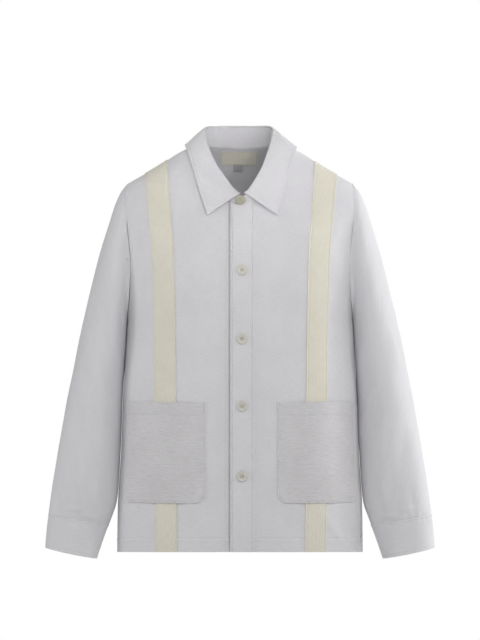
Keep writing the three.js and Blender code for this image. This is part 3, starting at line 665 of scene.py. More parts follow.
# Places of a panel's upright lines at an array of heights, and at the top edge
def lineTable(name, height):
    lines = panelLines[name]
    low, top = np.array(lines["low"], float), np.array(lines["top"], float)
    if lines["panel"] == "back":
        return np.repeat(low[:, None], len(height), 1), top
    shift = frontShift * lines["mirror"]
    low[lines["ahead"]:] += shift
    inner, outer = (smoothAt(stripeEdges, "height", edge, height) + shift for edge in ("inner", "outer"))
    low = np.concatenate([np.repeat(low[:, None], len(height), 1), [inner, (inner + outer) / 2, outer]])
    stripe = mix(stripeTop["inner"], stripeTop["outer"], np.array([0, 0.5, 1])) + shift
    return low, np.concatenate([top, stripe])


# Place of an upright line, given by its number (and past the last one by the share of the way round to
# the side seam), at each height of a grid of columns x rows below the armhole
def lowPlaces(name, number, grid):
    at = grid.ravel()
    low, top = lineTable(name, at)
    last = len(top) - 1
    number = np.repeat(number, grid.shape[1])
    k, i = np.clip(np.floor(number).astype(int), 0, last - 1), np.arange(len(at))
    x = mix(low[k, i], low[k + 1, i], np.clip(number - k, 0, 1))
    half = sectionHalfWidth(panelLines[name]["panel"], at)

    # angle round the section: arcsin((value / half)^(roundness / 2))
    def angle(value):
        return np.arcsin(np.clip(value / half, 0, 1) ** (body["roundness"] / 2))

    side = np.clip(number - last, 0, 1)
    turned = half * np.sin(mix(angle(low[last]), angle(sideAt(at)), side)) ** (2 / body["roundness"])
    return np.where(side > 0, turned, x).reshape(grid.shape)


# The same for the whole panel, whose lines run on to its top edge
def panelPlaces(name, number, heights, shares):
    panel = panelLines[name]["panel"]
    top = lineTable(name, heights)[1]
    last = len(top) - 1
    k = np.clip(np.floor(number).astype(int), 0, last - 1)
    topX = mix(top[k], top[k + 1], np.clip(number - k, 0, 1))
    side = np.clip(number - last, 0, 1)
    x = lowPlaces(name, number, np.repeat(heights[None], len(number), 0))
    topX = np.where(side > 0, mix(top[last], sideAt(body["armholeHigh"]), side), topX)
    topZ = np.where(side >= 1, body["armholeHigh"], topHeight(panel, topX))
    placeX = mix(x, topX[:, None], shares)
    placeZ = mix(heights, topZ[:, None], shares)
    # towards the seam the lines bend to the armhole's own curve
    seam = sideAt(armholeMiddle + armholeHalf * shares)
    straight = mix(sideAt(heights), sideAt(body["armholeHigh"]), shares)
    placeX = placeX + np.clip((side - 0.8) / 0.2, 0, 1)[:, None] * np.where(shares > 0, seam - straight, 0)
    return placeX, placeZ


# Line numbers spaced so that neither the low nor the top end of a step is longer than the spacing
def lineNumbers(name, spacing):
    low, top = lineTable(name, np.array([300.0]))
    low, last = low[:, 0], len(top) - 1
    topZ = topHeight(panelLines[name]["panel"], top)
    pieces = []
    for k in range(last):
        length = max(low[k + 1] - low[k], math.hypot(top[k + 1] - top[k], topZ[k + 1] - topZ[k]))
        steps = math.ceil(length / spacing)
        pieces.append(k + np.arange(steps) / steps)
    steps = math.ceil(150 / spacing)  # 150 mm is the widest part past the last line
    pieces.append(last + np.arange(steps + 1) / steps)
    return np.concatenate(pieces)


# Points, normals and places of a panel. The right front runs lower under the left one, with a groove
# along the button band's free edge.
def panelGrid(name, number, heights, shares):
    lines = panelLines[name]
    x, z = panelPlaces(name, number, heights, shares)
    points, normals = bodySurface(lines["panel"], x * lines["mirror"], z)
    if name == "front_right":
        share = np.clip((x - lap["inside"]) / (lap["clear"] + lap["fade"] - lap["inside"]), 0, 1)
        under = lap["depth"] * (0.5 + 0.5 * np.cos(math.pi * share))
        groove = lap["groove"] * bell(x + lap["free"] - lap["grooveIn"], lap["grooveWidth"])
        points = moved(points, normals, -under - groove)
    return points, normals, x, z


# A panel with its sewn hem: a groove and puckers at the line, and the turned cloth a little fuller below
def panelWall(name, grids):
    points, normals, x, z = grids
    toHem = z - body["hemHeight"]
    full = hem["full"] * bell(toHem + hem["fullAt"], 1.6)
    points = moved(points, normals, full - seamDent(toHem, hem["dent"], 1.2) - pucker(toHem, x, 3, 0.2))
    wall = np.where(toHem < 1, cloth["hemThickness"], cloth["thickness"])
    name = {"back": "back-panel"}.get(name, name.replace("_", "-"))
    row = nearest(z[0], body["hemHeight"])
    stitching(name + "-hem-stitching", [(points[:, row], normals[:, row])], whiteThread)
    return clothWall(name, points, moved(points, normals, -wall), shirtCotton, "cloth")


heights, shares = panelRows(cloth["meshSpacing"])
for name in ("front_left", "front_right"):
    numbers = lineNumbers(name, cloth["meshSpacing"])
    if name == "front_right":  # closer lines in the groove beside the button band
        numbers = np.unique(np.round(np.concatenate([numbers, np.linspace(1.76, 2.24, 12)]), 4))
    piece = panelWall(name, panelGrid(name, numbers, heights, shares))
    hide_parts(name)

numbers = lineNumbers("back", cloth["meshSpacing"])
leftHalf = panelGrid("back", numbers, heights, shares)
x, z = leftHalf[2:]
points, normals = bodySurface("back", -x[1:], z[1:])
rightHalf = (points[::-1], normals[::-1], -x[1:][::-1], z[1:][::-1])
piece = panelWall("back", [np.concatenate([r, l]) for r, l in zip(rightHalf, leftHalf)])
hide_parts("back")
print("fronts and back made")

# Bands on the fronts: the button band and the two cream bands
band = {"stitch": 2.6, "spacing": 2.6, "creamWidth": 37.0}
# Ridge and dent: swelling and stitched groove at the sewn edges
bandKinds = {
    "button": {"materials": (shirtCotton, whiteThread), "slot": "cloth", "ridge": 1.1, "dent": 1.2},
    "cream": {"materials": (creamCotton, creamThread), "slot": "cream_band", "ridge": 0.45, "dent": 0.35},
}


# Distances across a band with closer steps at the sewn lines near its two edges
def bandSteps(width):
    edge = np.array([0, 0.7, 1.4, 2.0, 2.6, 3.2, 4.0, 5.4])
    count = max(2, round((width - 2 * edge[-1]) / band["spacing"]))
    return np.concatenate([edge, np.linspace(edge[-1], width - edge[-1], count)[1:-1], (width - edge)[::-1]])


# A band on its panel: outer = inner + thickness + ridge * exp(-((toEdge - 1) / 1.1)^2) - groove + puckers
def bandWall(name, panel, firstLine, lastLine, width, kind, seed):
    form = bandKinds[kind]
    steps = bandSteps(width)
    places = np.linspace(0, width, lastLine - firstLine + 1)
    if kind == "button":  # its lines aren't evenly spaced
        low = lineTable(panel, np.array([0.0]))[0][firstLine : lastLine + 1, 0]
        places = low - low[0]
    numbers = np.interp(steps, places, np.arange(firstLine, lastLine + 1))
    points, normals, x, z = panelGrid(panel, numbers, heights, shares)
    toEdge = np.minimum(steps, width - steps)[:, None]
    toLine = toEdge - band["stitch"]
    swell = form["ridge"] * bell(toEdge - 1.0, 1.1) - seamDent(toLine, form["dent"])
    swell = swell + pucker(toLine, z, seed, 0.16, 4.0)
    inner = moved(points, normals, cloth["seamGap"])
    outer = moved(inner, normals, cloth["bandThickness"] + swell)
    uv = stacked(steps[:, None], runningLength(outer, 1))
    cotton, sewing = form["materials"]
    piece = clothWall(name, outer, inner, cotton, form["slot"], uv, edge=0.3)
    rows = [nearest(steps, edge) for edge in (band["stitch"], width - band["stitch"])]
    stitching(name + "-stitching", [(outer[r], normals[r]) for r in rows], sewing)
    return piece


piece = bandWall("button-band", "front_left", 0, 3, lap["sewn"] - lap["free"], "button", 11)
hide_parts("placket")
for name in ("left", "right"):
    first = len(panelLines[f"front_{name}"]["low"])
    width = band["creamWidth"]
    piece = bandWall(f"cream-band-{name}", f"front_{name}", first, first + 2, width, "cream", 20 + first)
    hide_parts(f"stripe_{name}")
print("bands made")


# Line numbers across a pocket, and how far in each is as a share of the corner
def pocketColumns(start, last):
    cornerIn = 1 - np.cos(np.linspace(0, math.pi / 2, 14))
    innerCorner = start + np.interp(cornerIn, [0, 0.3, 0.6, 1], [0, 1, 2, 3])
    outerCorner = last + mix(pocket["sideFraction"], pocket["cornerFraction"], cornerIn)
    stops = [start + 3, start + 4, start + 5, last, last + pocket["cornerFraction"]]
    spans = zip(stops, stops[1:], (8, 9, 19, 24))
    middle = np.concatenate([np.linspace(a, b, count)[1:] for a, b, count in spans])[:-1]
    number = np.concatenate([innerCorner, middle, outerCorner[::-1]])
    return number, np.concatenate([cornerIn, np.ones(len(middle)), cornerIn[::-1]])


# Rounded lower corners: the bottom rises by corner * (1 - sqrt(1 - (1 - inset)^2)) towards each side
def pocketHeights(inset, hemLine):
    bottom = pocket["bottom"] + pocket["corner"] * (1 - np.sqrt(np.clip(1 - (1 - inset) ** 2, 0, 1)))
    share = [0, 0.006, 0.012, 0.018, 0.026, 0.036, *np.linspace(0.05, 0.955, 60), 0.97, 0.98, 0.99, 1]
    overHem = [-0.8, 0, 0.8, 1.6, *np.linspace(3.2, pocket["hem"] - 2, 8), pocket["hem"] - 1, pocket["hem"]]
    low = mix(bottom[:, None], hemLine - 1.6, np.array(share))
    return np.concatenate([low, np.repeat([hemLine + np.array(overHem)], len(inset), 0)], 1)


# A patch pocket: it stands rest + bulge * sin(pi v / tall)^0.7 * sin(pi u / width) off the front, with a
# rolled edge, sewn grooves and a thicker turned hem
def pocketWall(side, seed):
    name = f"front_{side}"
    start = panelLines[name]["ahead"]
    lines = lineTable(name, np.array([pocket["top"]]))[0][:, 0]
    last = len(lines) - 1
    hemLine = pocket["top"] - pocket["hem"]
    number, inset = pocketColumns(start, last)
    z = pocketHeights(inset, hemLine)
    x = lowPlaces(name, number, z)
    points, normals = bodySurface("front", x * panelLines[name]["mirror"], z)
    across = runningLength(points, 0)[:, -6]
    width, tall, corner = across[-1], pocket["top"] - pocket["bottom"], pocket["corner"]
    u, v = across[:, None], z - pocket["bottom"]
    toSide = np.minimum(u, width - u)
    inCorner = (toSide < corner) & (v < corner)
    toEdge = np.where(inCorner, corner - np.hypot(corner - toSide, corner - v), np.minimum(toSide, v))
    toHem, toLine = z - hemLine, toEdge - pocket["stitchInset"]
    seams = seamDent(toLine, pocket["dent"]) + seamDent(toHem, pocket["hemDent"], 1.2)
    seams = seams + pucker(toLine, u + v, seed, pocket["pucker"], 6)
    seams = seams + pucker(toHem, u, seed + 1, pocket["hemPucker"], 6)
    # over the cream band the pocket rises by the band's thickness
    inside, outside = pocket["ramps"]
    rising, falling = (x - lines[last - 2]) / inside + 1, (lines[last] - x) / outside + 1
    overBand = np.clip(rising, 0, 1) * np.clip(falling, 0, 1)
    rise = cloth["bandThickness"] + cloth["seamGap"] + pocket["lift"]
    rest = cloth["seamGap"] + rise * eased(overBand)
    arch = np.sin(math.pi * np.clip(u / width, 0, 1))
    bulge = pocket["bulge"] * np.sin(math.pi * np.clip(v / tall, 0, 1)) ** 0.7
    bulge = (bulge + pocket["gape"] * np.clip(toHem / pocket["hem"], 0, 1)) * arch
    wall = mix(pocket["thickness"], pocket["hemThickness"], eased(np.clip((toHem + 1.5) / 3, 0, 1)))
    rolled = pocket["rolled"] * bell(toEdge - 0.9, 1.0)
    wavy = uneven(u, z, seed, pocket["wavy"]) * np.clip(toEdge / 20, 0, 1)
    inner = moved(points, normals, rest + np.clip(bulge, 0, None))
    outer = moved(inner, normals, wall + rolled - seams + wavy)
    piece = clothWall(f"pocket-{side}", outer, inner, pocketCotton, "pocket_cloth", stacked(u, z), edge=0.6)
    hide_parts(f"pocket_{side}")

    # place on the pocket's face, mixed straight between the grid's own points
    def onPocket(pathU, pathZ):
        column = np.interp(pathU, across, np.arange(len(across)))
        k = np.clip(np.floor(column).astype(int), 0, len(across) - 2)
        ends = []
        for c in (k, k + 1):
            r = np.clip(np.sum(z[c] <= pathZ[:, None], axis=1) - 1, 0, z.shape[1] - 2)
            f = np.clip((pathZ - z[c, r]) / (z[c, r + 1] - z[c, r]), 0, 1)[:, None]
            ends.append((mix(outer[c, r], outer[c, r + 1], f), normals[c, r]))
        return mix(ends[0][0], ends[1][0], (column - k)[:, None]), ends[0][1]

    # sewn path: down one side, round the bottom and up the other, then across under the hem
    d = pocket["stitchInset"]
    turned = np.linspace(0, math.pi / 2, 24)
    up, aside = (corner - d) * np.sin(turned), (corner - d) * np.cos(turned)
    base, post = np.linspace(corner, width - corner, 50), np.linspace(tall - 1, corner, 60)
    pathU = np.concatenate([0 * post + d, corner - aside, base, width - corner + up, 0 * post + width - d])
    pathV = np.concatenate([post, corner - up, 0 * base + d, corner - aside, post[::-1]])
    underHem = np.linspace(d + 1, width - d - 1, 90)
    rows = [onPocket(pathU, pocket["bottom"] + pathV), onPocket(underHem, 0 * underHem + hemLine)]
    # short bar tacks, worked back and forth at both ends of the opening
    tack = np.linspace(-pocket["tackHalf"], pocket["tackHalf"], 12)
    for end in (d + pocket["tackAt"], width - d - pocket["tackAt"]):
        for k in range(4):
            rows.append(onPocket(end + tack, 0 * tack + pocket["top"] - pocket["tackDown"] - 0.5 * k))
    stitching(f"pocket-{side}-stitching", rows, whiteThread)


pocketWall("left", 31)
pocketWall("right", 47)
print("pockets made")

# Sleeves and cuffs
sleeve = {
    "bodyGap": 0.25,
    "caughtEnd": 1.6,  # length of the sleeve inside the cuff
    "around": 132,
    "down": 160,
    "girth": 2 * math.pi * 60,
    "endGirth": 260,
    "cuffGirth": 240,
    "cuffLines": (4.0, 4.5),  # stitch lines from the cuff's two edges
    "roll": 0.6, "rollAt": 3.5, "rollWidth": 3.0, "seamDent": 0.5, "gather": 0.35, "gatherReach": 14,
    "wavy": 0.35, "cuffSwell": 0.7, "cuffPucker": 0.35, "cuffWavy": 0.25,
}
sleeveRings = table(
    "index outerX outerZ innerX innerZ frontDepth backDepth y",
    (0, 196, 644, 0, 406, 55, 60, 0),
    (1, 206.5, 633, 0, 403.5, 60, 63, 0),
    (2, 217.5, 611, 0, 401, 64, 66, 0),
    (3, 231, 570, 0, 397, 68, 69, 0),
    (4, 243.5, 528, 0, 391, 70, 71, 0),
    (5, 257, 476, 0, 382, 71, 72, 0),
    (6, 270, 423, 0, 362, 72, 72, 1),
    (7, 282, 371, 0, 332, 71, 71, 2),
    (8, 292, 318, 0, 292, 69, 70, 3),
    (9, 303, 266, 0, 247, 66, 67, 1),
    (10, 312, 213, 0, 196, 62, 62, -3),
    (11, 321, 161, 0, 143, 56, 56, -8),
    (12, 328.5, 113, 214.6, 93, 49, 49, -13),
    (13, 334, 68, 229, 49, 38, 38, -18),
)
followsBody = sleeveRings["innerX"] == 0
sleeveRings["innerX"][followsBody] = sideAt(sleeveRings["innerZ"][followsBody]) + sleeve["bodyGap"]
sleeveRings["innerX"][0] = sideAt(body["armholeLow"])
cuffRings = table(
    "index outerX outerZ innerX innerZ frontDepth backDepth y",
    (0, 334, 68, 229, 49, 38, 38, -18),
    (1, 337.5, 38, 239.5, 19, 39.5, 39.5, -21),
    (2, 340, 9, 249, -10, 40, 40, -24),
)
# Folds: place down the sleeve, angle round it from its outer edge over the front, half sizes, a lean
# in degrees round for each unit down, and depth
sleeveFolds = table(
    "along halfAlong around halfAround lean depth",
    (0.5, 0.17, 78, 30, 0, 3.5),
    (0.66, 0.15, 118, 26, 0, 4),
    (0.8, 0.14, 66, 24, 0, 3.5),
    (0.6, 0.2, 262, 30, 0, 4.5),
    (0.78, 0.14, 238, 26, 0, 4),
    # finer ones, only here
    (0.9, 0.09, 96, 9, 40, 1.6),
    (0.93, 0.07, 124, 8, -30, 1.5),
    (0.95, 0.06, 62, 8, 20, 1.3),
    (0.93, 0.08, 250, 9, 30, 1.5),
    (0.94, 0.07, 290, 8, -20, 1.3),
    (0.95, 0.06, 205, 8, 10, 1.2),
    (0.08, 0.09, 120, 9, 60, 1.4),
    (0.11, 0.1, 150, 9, 70, 1.3),
    (0.09, 0.1, 235, 10, -60, 1.4),
    (0.4, 0.14, 140, 12, 80, 1.4),
    (0.56, 0.12, 48, 10, -70, -1.0),
    (0.7, 0.1, 92, 9, 90, -1.0),
    (0.45, 0.13, 215, 12, -80, 1.3),
    # short creases over the cuff's seam
    (0.983, 0.013, 112, 18, 0, -2.4),
    (0.970, 0.013, 80, 16, 0, -2.2),
    (0.981, 0.012, 250, 17, 0, -2.0),
)


# Points round the elliptic rings of a tube, columns round by rows down, and the rings' middles
def tubePoints(rings, along, around):
    place = along * (len(rings["index"]) - 1)
    at = {key: smoothAt(rings, "index", key, place) for key in rings if key != "index"}
    outer = np.stack([at["outerX"], at["y"], at["outerZ"]], -1)
    inner = np.stack([at["innerX"], at["y"], at["innerZ"]], -1)
    middle = (outer + inner) / 2
    angle = around[:, None]
    points = middle + (outer - inner) / 2 * np.cos(angle)[..., None]
    points[..., 1] -= np.where(np.sin(angle) > 0, at["frontDepth"], at["backDepth"]) * np.sin(angle)
    return points, middle


# Each fold: depth * exp(-(round / halfAround)^2) * (1 - (down / halfAlong)^2)^2, leaning as it goes down
def tubeFolds(folds, along, degrees):
    total = 0
    for middle, halfAlong, around, halfAround, lean, depth in zip(*folds.values()):
        down = along - middle
        turned = (degrees[:, None] - around - lean * down + 180) % 360 - 180
        total = total + depth * bell(turned, halfAround) * np.clip(1 - (down / halfAlong) ** 2, 0, 1) ** 2
    return total


# A sleeve and its cuff: elliptic rings down the arm, less their folds, unevenness and the gathers at the
# cuff. The cuff swells at its seam and has a groove along each of its two stitch lines.
def sleeveAndCuff(side, seed):
    flip = np.array([1 if side == "left" else -1, 1, 1])
    around = circle(sleeve["around"])
    turns = around[:, None] / (2 * math.pi)
    near, far = [0, 0.003, 0.006, 0.010, 0.014], [0.9885, 0.992, 0.9945, 0.997, 1]
    along = np.concatenate([near, np.linspace(0.019, 0.985, sleeve["down"]), far])
    points, middle = tubePoints(sleeveRings, along, around)
    points[:, 0, 0] = sideAt(points[:, 0, 2]) + cloth["seamGap"]
    normals = gridNormals(points, True, middle)
    normals[:, 0] = unit(normals[:, 0] * [0, 1, 1])
    run = runningLength(points, 1)
    fromCuff = run[:, -1:] - run
    wavy = uneven(turns * sleeve["girth"], run, seed, sleeve["wavy"]) * np.sin(math.pi * along) ** 0.5
    # a seam's soft roll at the armhole, and the gathered end that runs into the cuff
    roll = sleeve["roll"] * bell(run - sleeve["rollAt"], sleeve["rollWidth"])
    roll = roll - sleeve["seamDent"] * bell(run, 1.6)
    gather = pucker(fromCuff, turns * sleeve["endGirth"], seed + 5, sleeve["gather"], sleeve["gatherReach"])
    gather = gather + seamDent(fromCuff, sleeve["gather"], 1.6)
    folds = tubeFolds(sleeveFolds, along, np.degrees(around))
    outer = moved(points, normals, roll - folds - wavy - gather)
    outer[:, 0] = points[:, 0]
    inner = moved(outer, normals, -cloth["thickness"])
    # the sleeve's end is caught between the cuff's two layers
    down = unit(outer[:, -1] - outer[:, -2]) * sleeve["caughtEnd"]
    outer[:, -1] += down
    inner[:, -1] += down
    uv = stacked(turns * sleeve["girth"], run)
    walls = (outer * flip, inner * flip, shirtCotton, "cloth", uv, True)
    piece = clothWall(f"sleeve-{side}", *walls, edge=0.4)
    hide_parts(f"sleeve_{side}")

    near, far = [0, 0.012, 0.024, 0.04, 0.06], [0.915, 0.93, 0.945, 0.96, 0.98, 1]
    points, middle = tubePoints(cuffRings, np.concatenate([near, np.linspace(0.08, 0.9, 22), far]), around)
    normals = gridNormals(points, True, middle)
    points[:, 0] += unit(middle[1] - middle[0]) * cloth["seamGap"]
    run = runningLength(points, 1)
    fromEnd = run[:, -1:] - run
    lines = list(zip((run, fromEnd), sleeve["cuffLines"]))
    places = turns * sleeve["cuffGirth"]
    swell = sleeve["cuffSwell"] * bell(run - 1.8, 1.8) - sum(seamDent(gap - line, 0.4) for gap, line in lines)
    swell = swell + pucker(run, places, seed + 9, sleeve["cuffPucker"], 10)
    swell = swell + uneven(places, run, seed + 2, sleeve["cuffWavy"])
    outer = moved(points, normals, swell)
    inner = moved(outer, normals, -cloth["doubleThickness"])
    walls = (outer * flip, inner * flip, shirtCotton, "cloth", stacked(places, run), True)
    piece = clothWall(f"cuff-{side}", *walls, edge=0.7)
    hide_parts(f"cuff_{side}")
    rows = []
    for gap, line in lines:
        r = nearest(gap.mean(0), line)
        rows.append(tuple(np.concatenate([grid[:, r], grid[:1, r]]) * flip for grid in (outer, normals)))
    stitching(f"cuff-{side}-stitching", rows, whiteThread)


sleeveAndCuff("left", 61)
sleeveAndCuff("right", 83)
print("sleeves and cuffs made")

# Collar sections from the buttoned end to the middle of the back: place on the neck seam, top of the
# stand, and outer edge of the leaf. The first one is the stand's own end.
collarRows = table(
    "isFront seamX topX topY topZ edgeX edgeZ",
    (1, -16.6, -15, -73, 620, 0, 0),
    (1, 3.5, 3, -72, 623, 59.7, 585.5),
    (1, 19, 15, -69, 633, 64, 598),
    (1, 31, 27, -63.5, 649, 69, 614),
    (1, 41.6, 38.6, -55, 668, 75, 634),
    (1, 54.5, 50.4, -38, 697, 83, 664.5),
    (1, 62.6, 57.4, -19, 720, 90, 689.5),
    (1, 65.3, 58.8, -5, 733, 93.2, 700),
    (1, 66, 56.5, 9, 741, 95.6, 708),
    (0, 58, 50, 21, 743.6, 87, 704),
    (0, 44, 40.5, 30, 744, 67, 699.5),
    (0, 22, 21, 36.5, 744, 35, 697),
    (0, 0, 0, 38, 744, 0, 696.5),
)
collar = {
    # the collar sits a little to the wearer's left in front, and its leaf hangs lower on that side
    "foldShift": (1.5, -2), "foldShiftFrom": (650, 700), "leafShift": (3.9, 1.75), "leafShiftFrom": (590, 700),
    "leftFoldDrop": 3.5, "leftFoldDropFrom": (625, 650),
    "leafDrop": 4, "leafDropAtX": 97, "leafDropFrom": (640, 700), "leafStart": 0.4,
    "neckMiddleY": -17, "standOuter": 0.4, "seamGap": 0.4, "foldGap": 1.2,
    "roll": (6.5, 4.6), "bulge": (2, 0.8), "flatterFrom": (700, 740),  # from the front to the shoulders
    "crowding": 1.35, "edgeLift": 4.8, "stitchInset": 6, "standColumns": 190, "leafColumns": 220,
    "bow": 0.15, "dent": 0.4, "dentWidth": 1.1, "pucker": 0.18, "rim": 0.35, "rimWidth": 1.4, "wavy": 0.25,
}


# Points and directions of the front where isFront is 1, and of the back elsewhere
def eitherPanel(x, height, isFront):
    front, frontNormal = bodySurface("front", x, height)
    back, backNormal = bodySurface("back", x, height)
    pick = isFront[:, None] > 0
    return np.where(pick, front, back), np.where(pick, frontNormal, backNormal)


# Seam, top and edge points of all sections, from the left end round the back to the right end
def collarSections(rows):
    sides = []
    for mirror in (1, -1):
        seamX, isFront = rows["seamX"], rows["isFront"]
        height = np.where(isFront > 0, topHeight("front", seamX), topHeight("back", seamX))
        seam, normal = eitherPanel(seamX * mirror, height, isFront)
        under = np.where((isFront > 0) & (seamX < lap["clear"]), lap["depth"] if mirror < 0 else 0.0, 0.0)
        seam = seam - normal * under[:, None]
        foldShift = np.interp(rows["topZ"], collar["foldShiftFrom"], collar["foldShift"])
        drop = collar["leftFoldDrop"] * (mirror > 0)
        topZ = rows["topZ"] - np.interp(rows["topZ"], collar["leftFoldDropFrom"], [drop, 0])
        top = np.stack([rows["topX"] * mirror + foldShift, rows["topY"] + under, topZ], -1)
        x = rows["edgeX"] * mirror + np.interp(rows["edgeZ"], collar["leafShiftFrom"], collar["leafShift"])
        falls = np.interp(rows["edgeZ"], collar["leafDropFrom"], [0, 1])
        drop = collar["leafDrop"] / 2 * (1 + x / collar["leafDropAtX"]) * falls
        edge, out = eitherPanel(x, rows["edgeZ"] - drop, isFront)
        sides.append(np.concatenate([seam, top, edge + out * collar["edgeLift"]], -1))
    return np.concatenate([sides[0], sides[1][:-1][::-1]])


# Cubic Hermite curve through points, with slopes from their neighbours, by distance between them
def throughPoints(points, count, guide, closer=None):
    t = np.concatenate([[0], np.cumsum(np.linalg.norm(np.diff(points[:, guide], axis=0), axis=1))])
    slope = np.gradient(points, t, axis=0)
    at = np.linspace(0, t[-1], count)
    if closer is not None:
        at = np.sort(np.concatenate([at, closer, t[-1] - closer]))
    k = np.clip(np.searchsorted(t, at, "right") - 1, 0, len(t) - 2)
    span = (t[k + 1] - t[k])[:, None]
    f = (at - t[k])[:, None] / span
    bend = slope[k] * f * (1 - f) ** 2 - slope[k + 1] * f * f * (1 - f)
    return mix(points[k], points[k + 1], eased(f)) + bend * span


# Square directions at the fold line: up is over it, out is away from the neck's middle
def collarDirections(top):
    along = unit(np.gradient(top, axis=0))
    out = unit(np.stack([top[:, 0], top[:, 1] - collar["neckMiddleY"], 0 * top[:, 0]], -1))
    out = unit(out - along * np.sum(out * along, -1, keepdims=True))
    up = np.cross(along, out)
    return up * np.sign(up[:, 2:3]), out


# Stand: straight from the neck seam to the fold in each section
standSections = throughPoints(collarSections(collarRows), collar["standColumns"], slice(0, 3))
seam, top = standSections[:, 0:3], standSections[:, 3:6]
out = collarDirections(top)[1]
start = seam + unit(top - seam) * collar["seamGap"]
share = np.linspace(0, 1, 16)
points = mix(start[:, None], top[:, None], share[None, :, None])
normals = np.repeat(out[:, None], len(share), 1)
standOutside = moved(points, normals, collar["standOuter"] + collar["bow"] * np.sin(math.pi * share))
standInside = moved(points, normals, collar["standOuter"] - cloth["doubleThickness"])
uv = stacked(runningLength(points, 0)[:, -1:], runningLength(points, 1))
piece = clothWall("collar-stand", standOutside, standInside, shirtCotton, "cloth", uv, edge=0.6)
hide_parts("collar_stand")

# Leaf: a cubic Bezier in each section, from over the stand's top, out in a soft roll, to its edge
leafRows = {k: v[1:] for k, v in collarRows.items()}
nearEnds = np.array([1.5, 2.6, 3.4, 4.2, 5.2])
leafPoints = collarSections(leafRows)
leafPoints[0, 3:6] = mix(leafPoints[0, 3:6], leafPoints[1, 3:6], collar["leafStart"])
leafSections = throughPoints(leafPoints, collar["leafColumns"], slice(6, 9), nearEnds)
top, edge = leafSections[:, 3:6], leafSections[:, 6:9]
up, out = collarDirections(top)
start = top + up * (cloth["doubleThickness"] / 2 + collar["foldGap"])
roll = start + out * np.interp(top[:, 2:3], collar["flatterFrom"], collar["roll"])
fall = mix(start, edge, 0.6) + out * np.interp(top[:, 2:3], collar["flatterFrom"], collar["bulge"])
share = np.concatenate([np.linspace(0, 0.9, 40) ** collar["crowding"], np.linspace(0.88, 1, 14)])[:, None]
weights = [(1 - share) ** 3, 3 * share * (1 - share) ** 2, 3 * share**2 * (1 - share), share**3]
points = sum(w[None] * p[:, None] for w, p in zip(weights, (start, roll, fall, edge)))
normals = gridNormals(points, False, np.array([0, collar["neckMiddleY"], 675]))
fromFold, fromLeft = runningLength(points, 1), runningLength(points, 0)
fromEdge, fromRight = fromFold[:, -1:] - fromFold, fromLeft[-1:] - fromLeft
fromEnds = np.minimum(fromLeft, fromRight)
inset = np.minimum(fromEdge, fromEnds)
toLine, lineAlong = inset - collar["stitchInset"], np.where(fromEdge < fromEnds, fromLeft, fromEdge)
sunk = seamDent(toLine, collar["dent"], collar["dentWidth"]) + pucker(toLine, lineAlong, 5, collar["pucker"], 6)
sunk = sunk - collar["rim"] * bell(inset - collar["rimWidth"], collar["rimWidth"])
sunk = sunk + uneven(fromLeft, fromFold, 12, collar["wavy"])
outer = moved(points, normals, cloth["doubleThickness"] / 2 - sunk)
inner = moved(points, normals, -cloth["doubleThickness"] / 2)
uv = np.stack([fromLeft, fromFold], -1)
piece = clothWall("collar-leaf", outer, inner, shirtCotton, "cloth", uv, edge=0.7)
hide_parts("collar_leaf")


# Path on a grid where a distance that grows along one axis reaches a value, kept where another is larger
def levelPath(grid, directions, distance, value, other, axis):
    if axis == 0:
        grid, directions = grid.swapaxes(0, 1), directions.swapaxes(0, 1)
        distance, other = distance.T, other.T
    k = np.clip(np.argmax(distance >= value, axis=1), 1, distance.shape[1] - 1)
    i = np.arange(len(k))
    f = ((value - distance[i, k - 1]) / (distance[i, k] - distance[i, k - 1] + 1e-9))[:, None]
    keep = other[i, k] >= value - 0.3
    return mix(grid[i, k - 1], grid[i, k], f)[keep], directions[i, k][keep]


d = collar["stitchInset"]
outerEdge = levelPath(outer[:, ::-1], normals[:, ::-1], fromEdge[:, ::-1], d, fromEnds[:, ::-1], 1)
leftEnd = levelPath(outer, normals, fromLeft, d, fromEdge, 0)
rightEnd = levelPath(outer[::-1], normals[::-1], fromRight[::-1], d, fromEdge[::-1], 0)
stitching("collar-leaf-stitching", [outerEdge, leftEnd, rightEnd], whiteThread)
print("collar made")

# Neck label and size tab
label = {"centreX": -1.5, "width": 65, "top": 703.5, "height": 23, "thickness": 0.8, "gap": 1}
tab = {"centreX": -3.5, "width": 17, "height": 12, "thickness": 0.6, "tuck": 2}


# A label inside the back: its surface moved in by cloth, gap and lift, with a shallow groove at the stitches
def labelWall(name, sizes, top, lift, material, slot, node):
    u = np.linspace(0, 1, 40)[:, None] * sizes["width"]
    v = np.linspace(0, 1, 22)[None] * sizes["height"]
    x, z = sizes["centreX"] - sizes["width"] / 2 + u, top - sizes["height"] + v
    points, normals = bodySurface("back", x, z)
    under = cloth["thickness"] + label["gap"] + lift
    toEdge = np.minimum(np.minimum(u, sizes["width"] - u), np.minimum(v, sizes["height"] - v))
    outer = moved(points, normals, -under)
    inner = moved(points, normals, 0.2 * bell(toEdge - 1.5, 0.8) - under - sizes["thickness"])
    piece = clothWall(name, outer, inner, material, slot, stacked(u, v), edge=0.2)
    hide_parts(node)
    return inner, -normals


# the label's satin carries painted light, lighter than its own taupe
inside, away = labelWall("neck-label", label, label["top"], 0, paintedLightLabelSatin, "label", "neck_label")
tabTop, tabLift = label["top"] - label["height"] + tab["tuck"], label["thickness"] + cloth["seamGap"]
labelWall("size-tab", tab, tabTop, tabLift, sizeTape, "size_tab", "size_tab")
rows = [(inside[1:-1, r], away[1:-1, r]) for r in (1, -2)]
rows += [(inside[c, 1:-1], away[c, 1:-1]) for c in (1, -2)]
stitching("neck-label-stitching", rows, labelThread)
print("labels made")

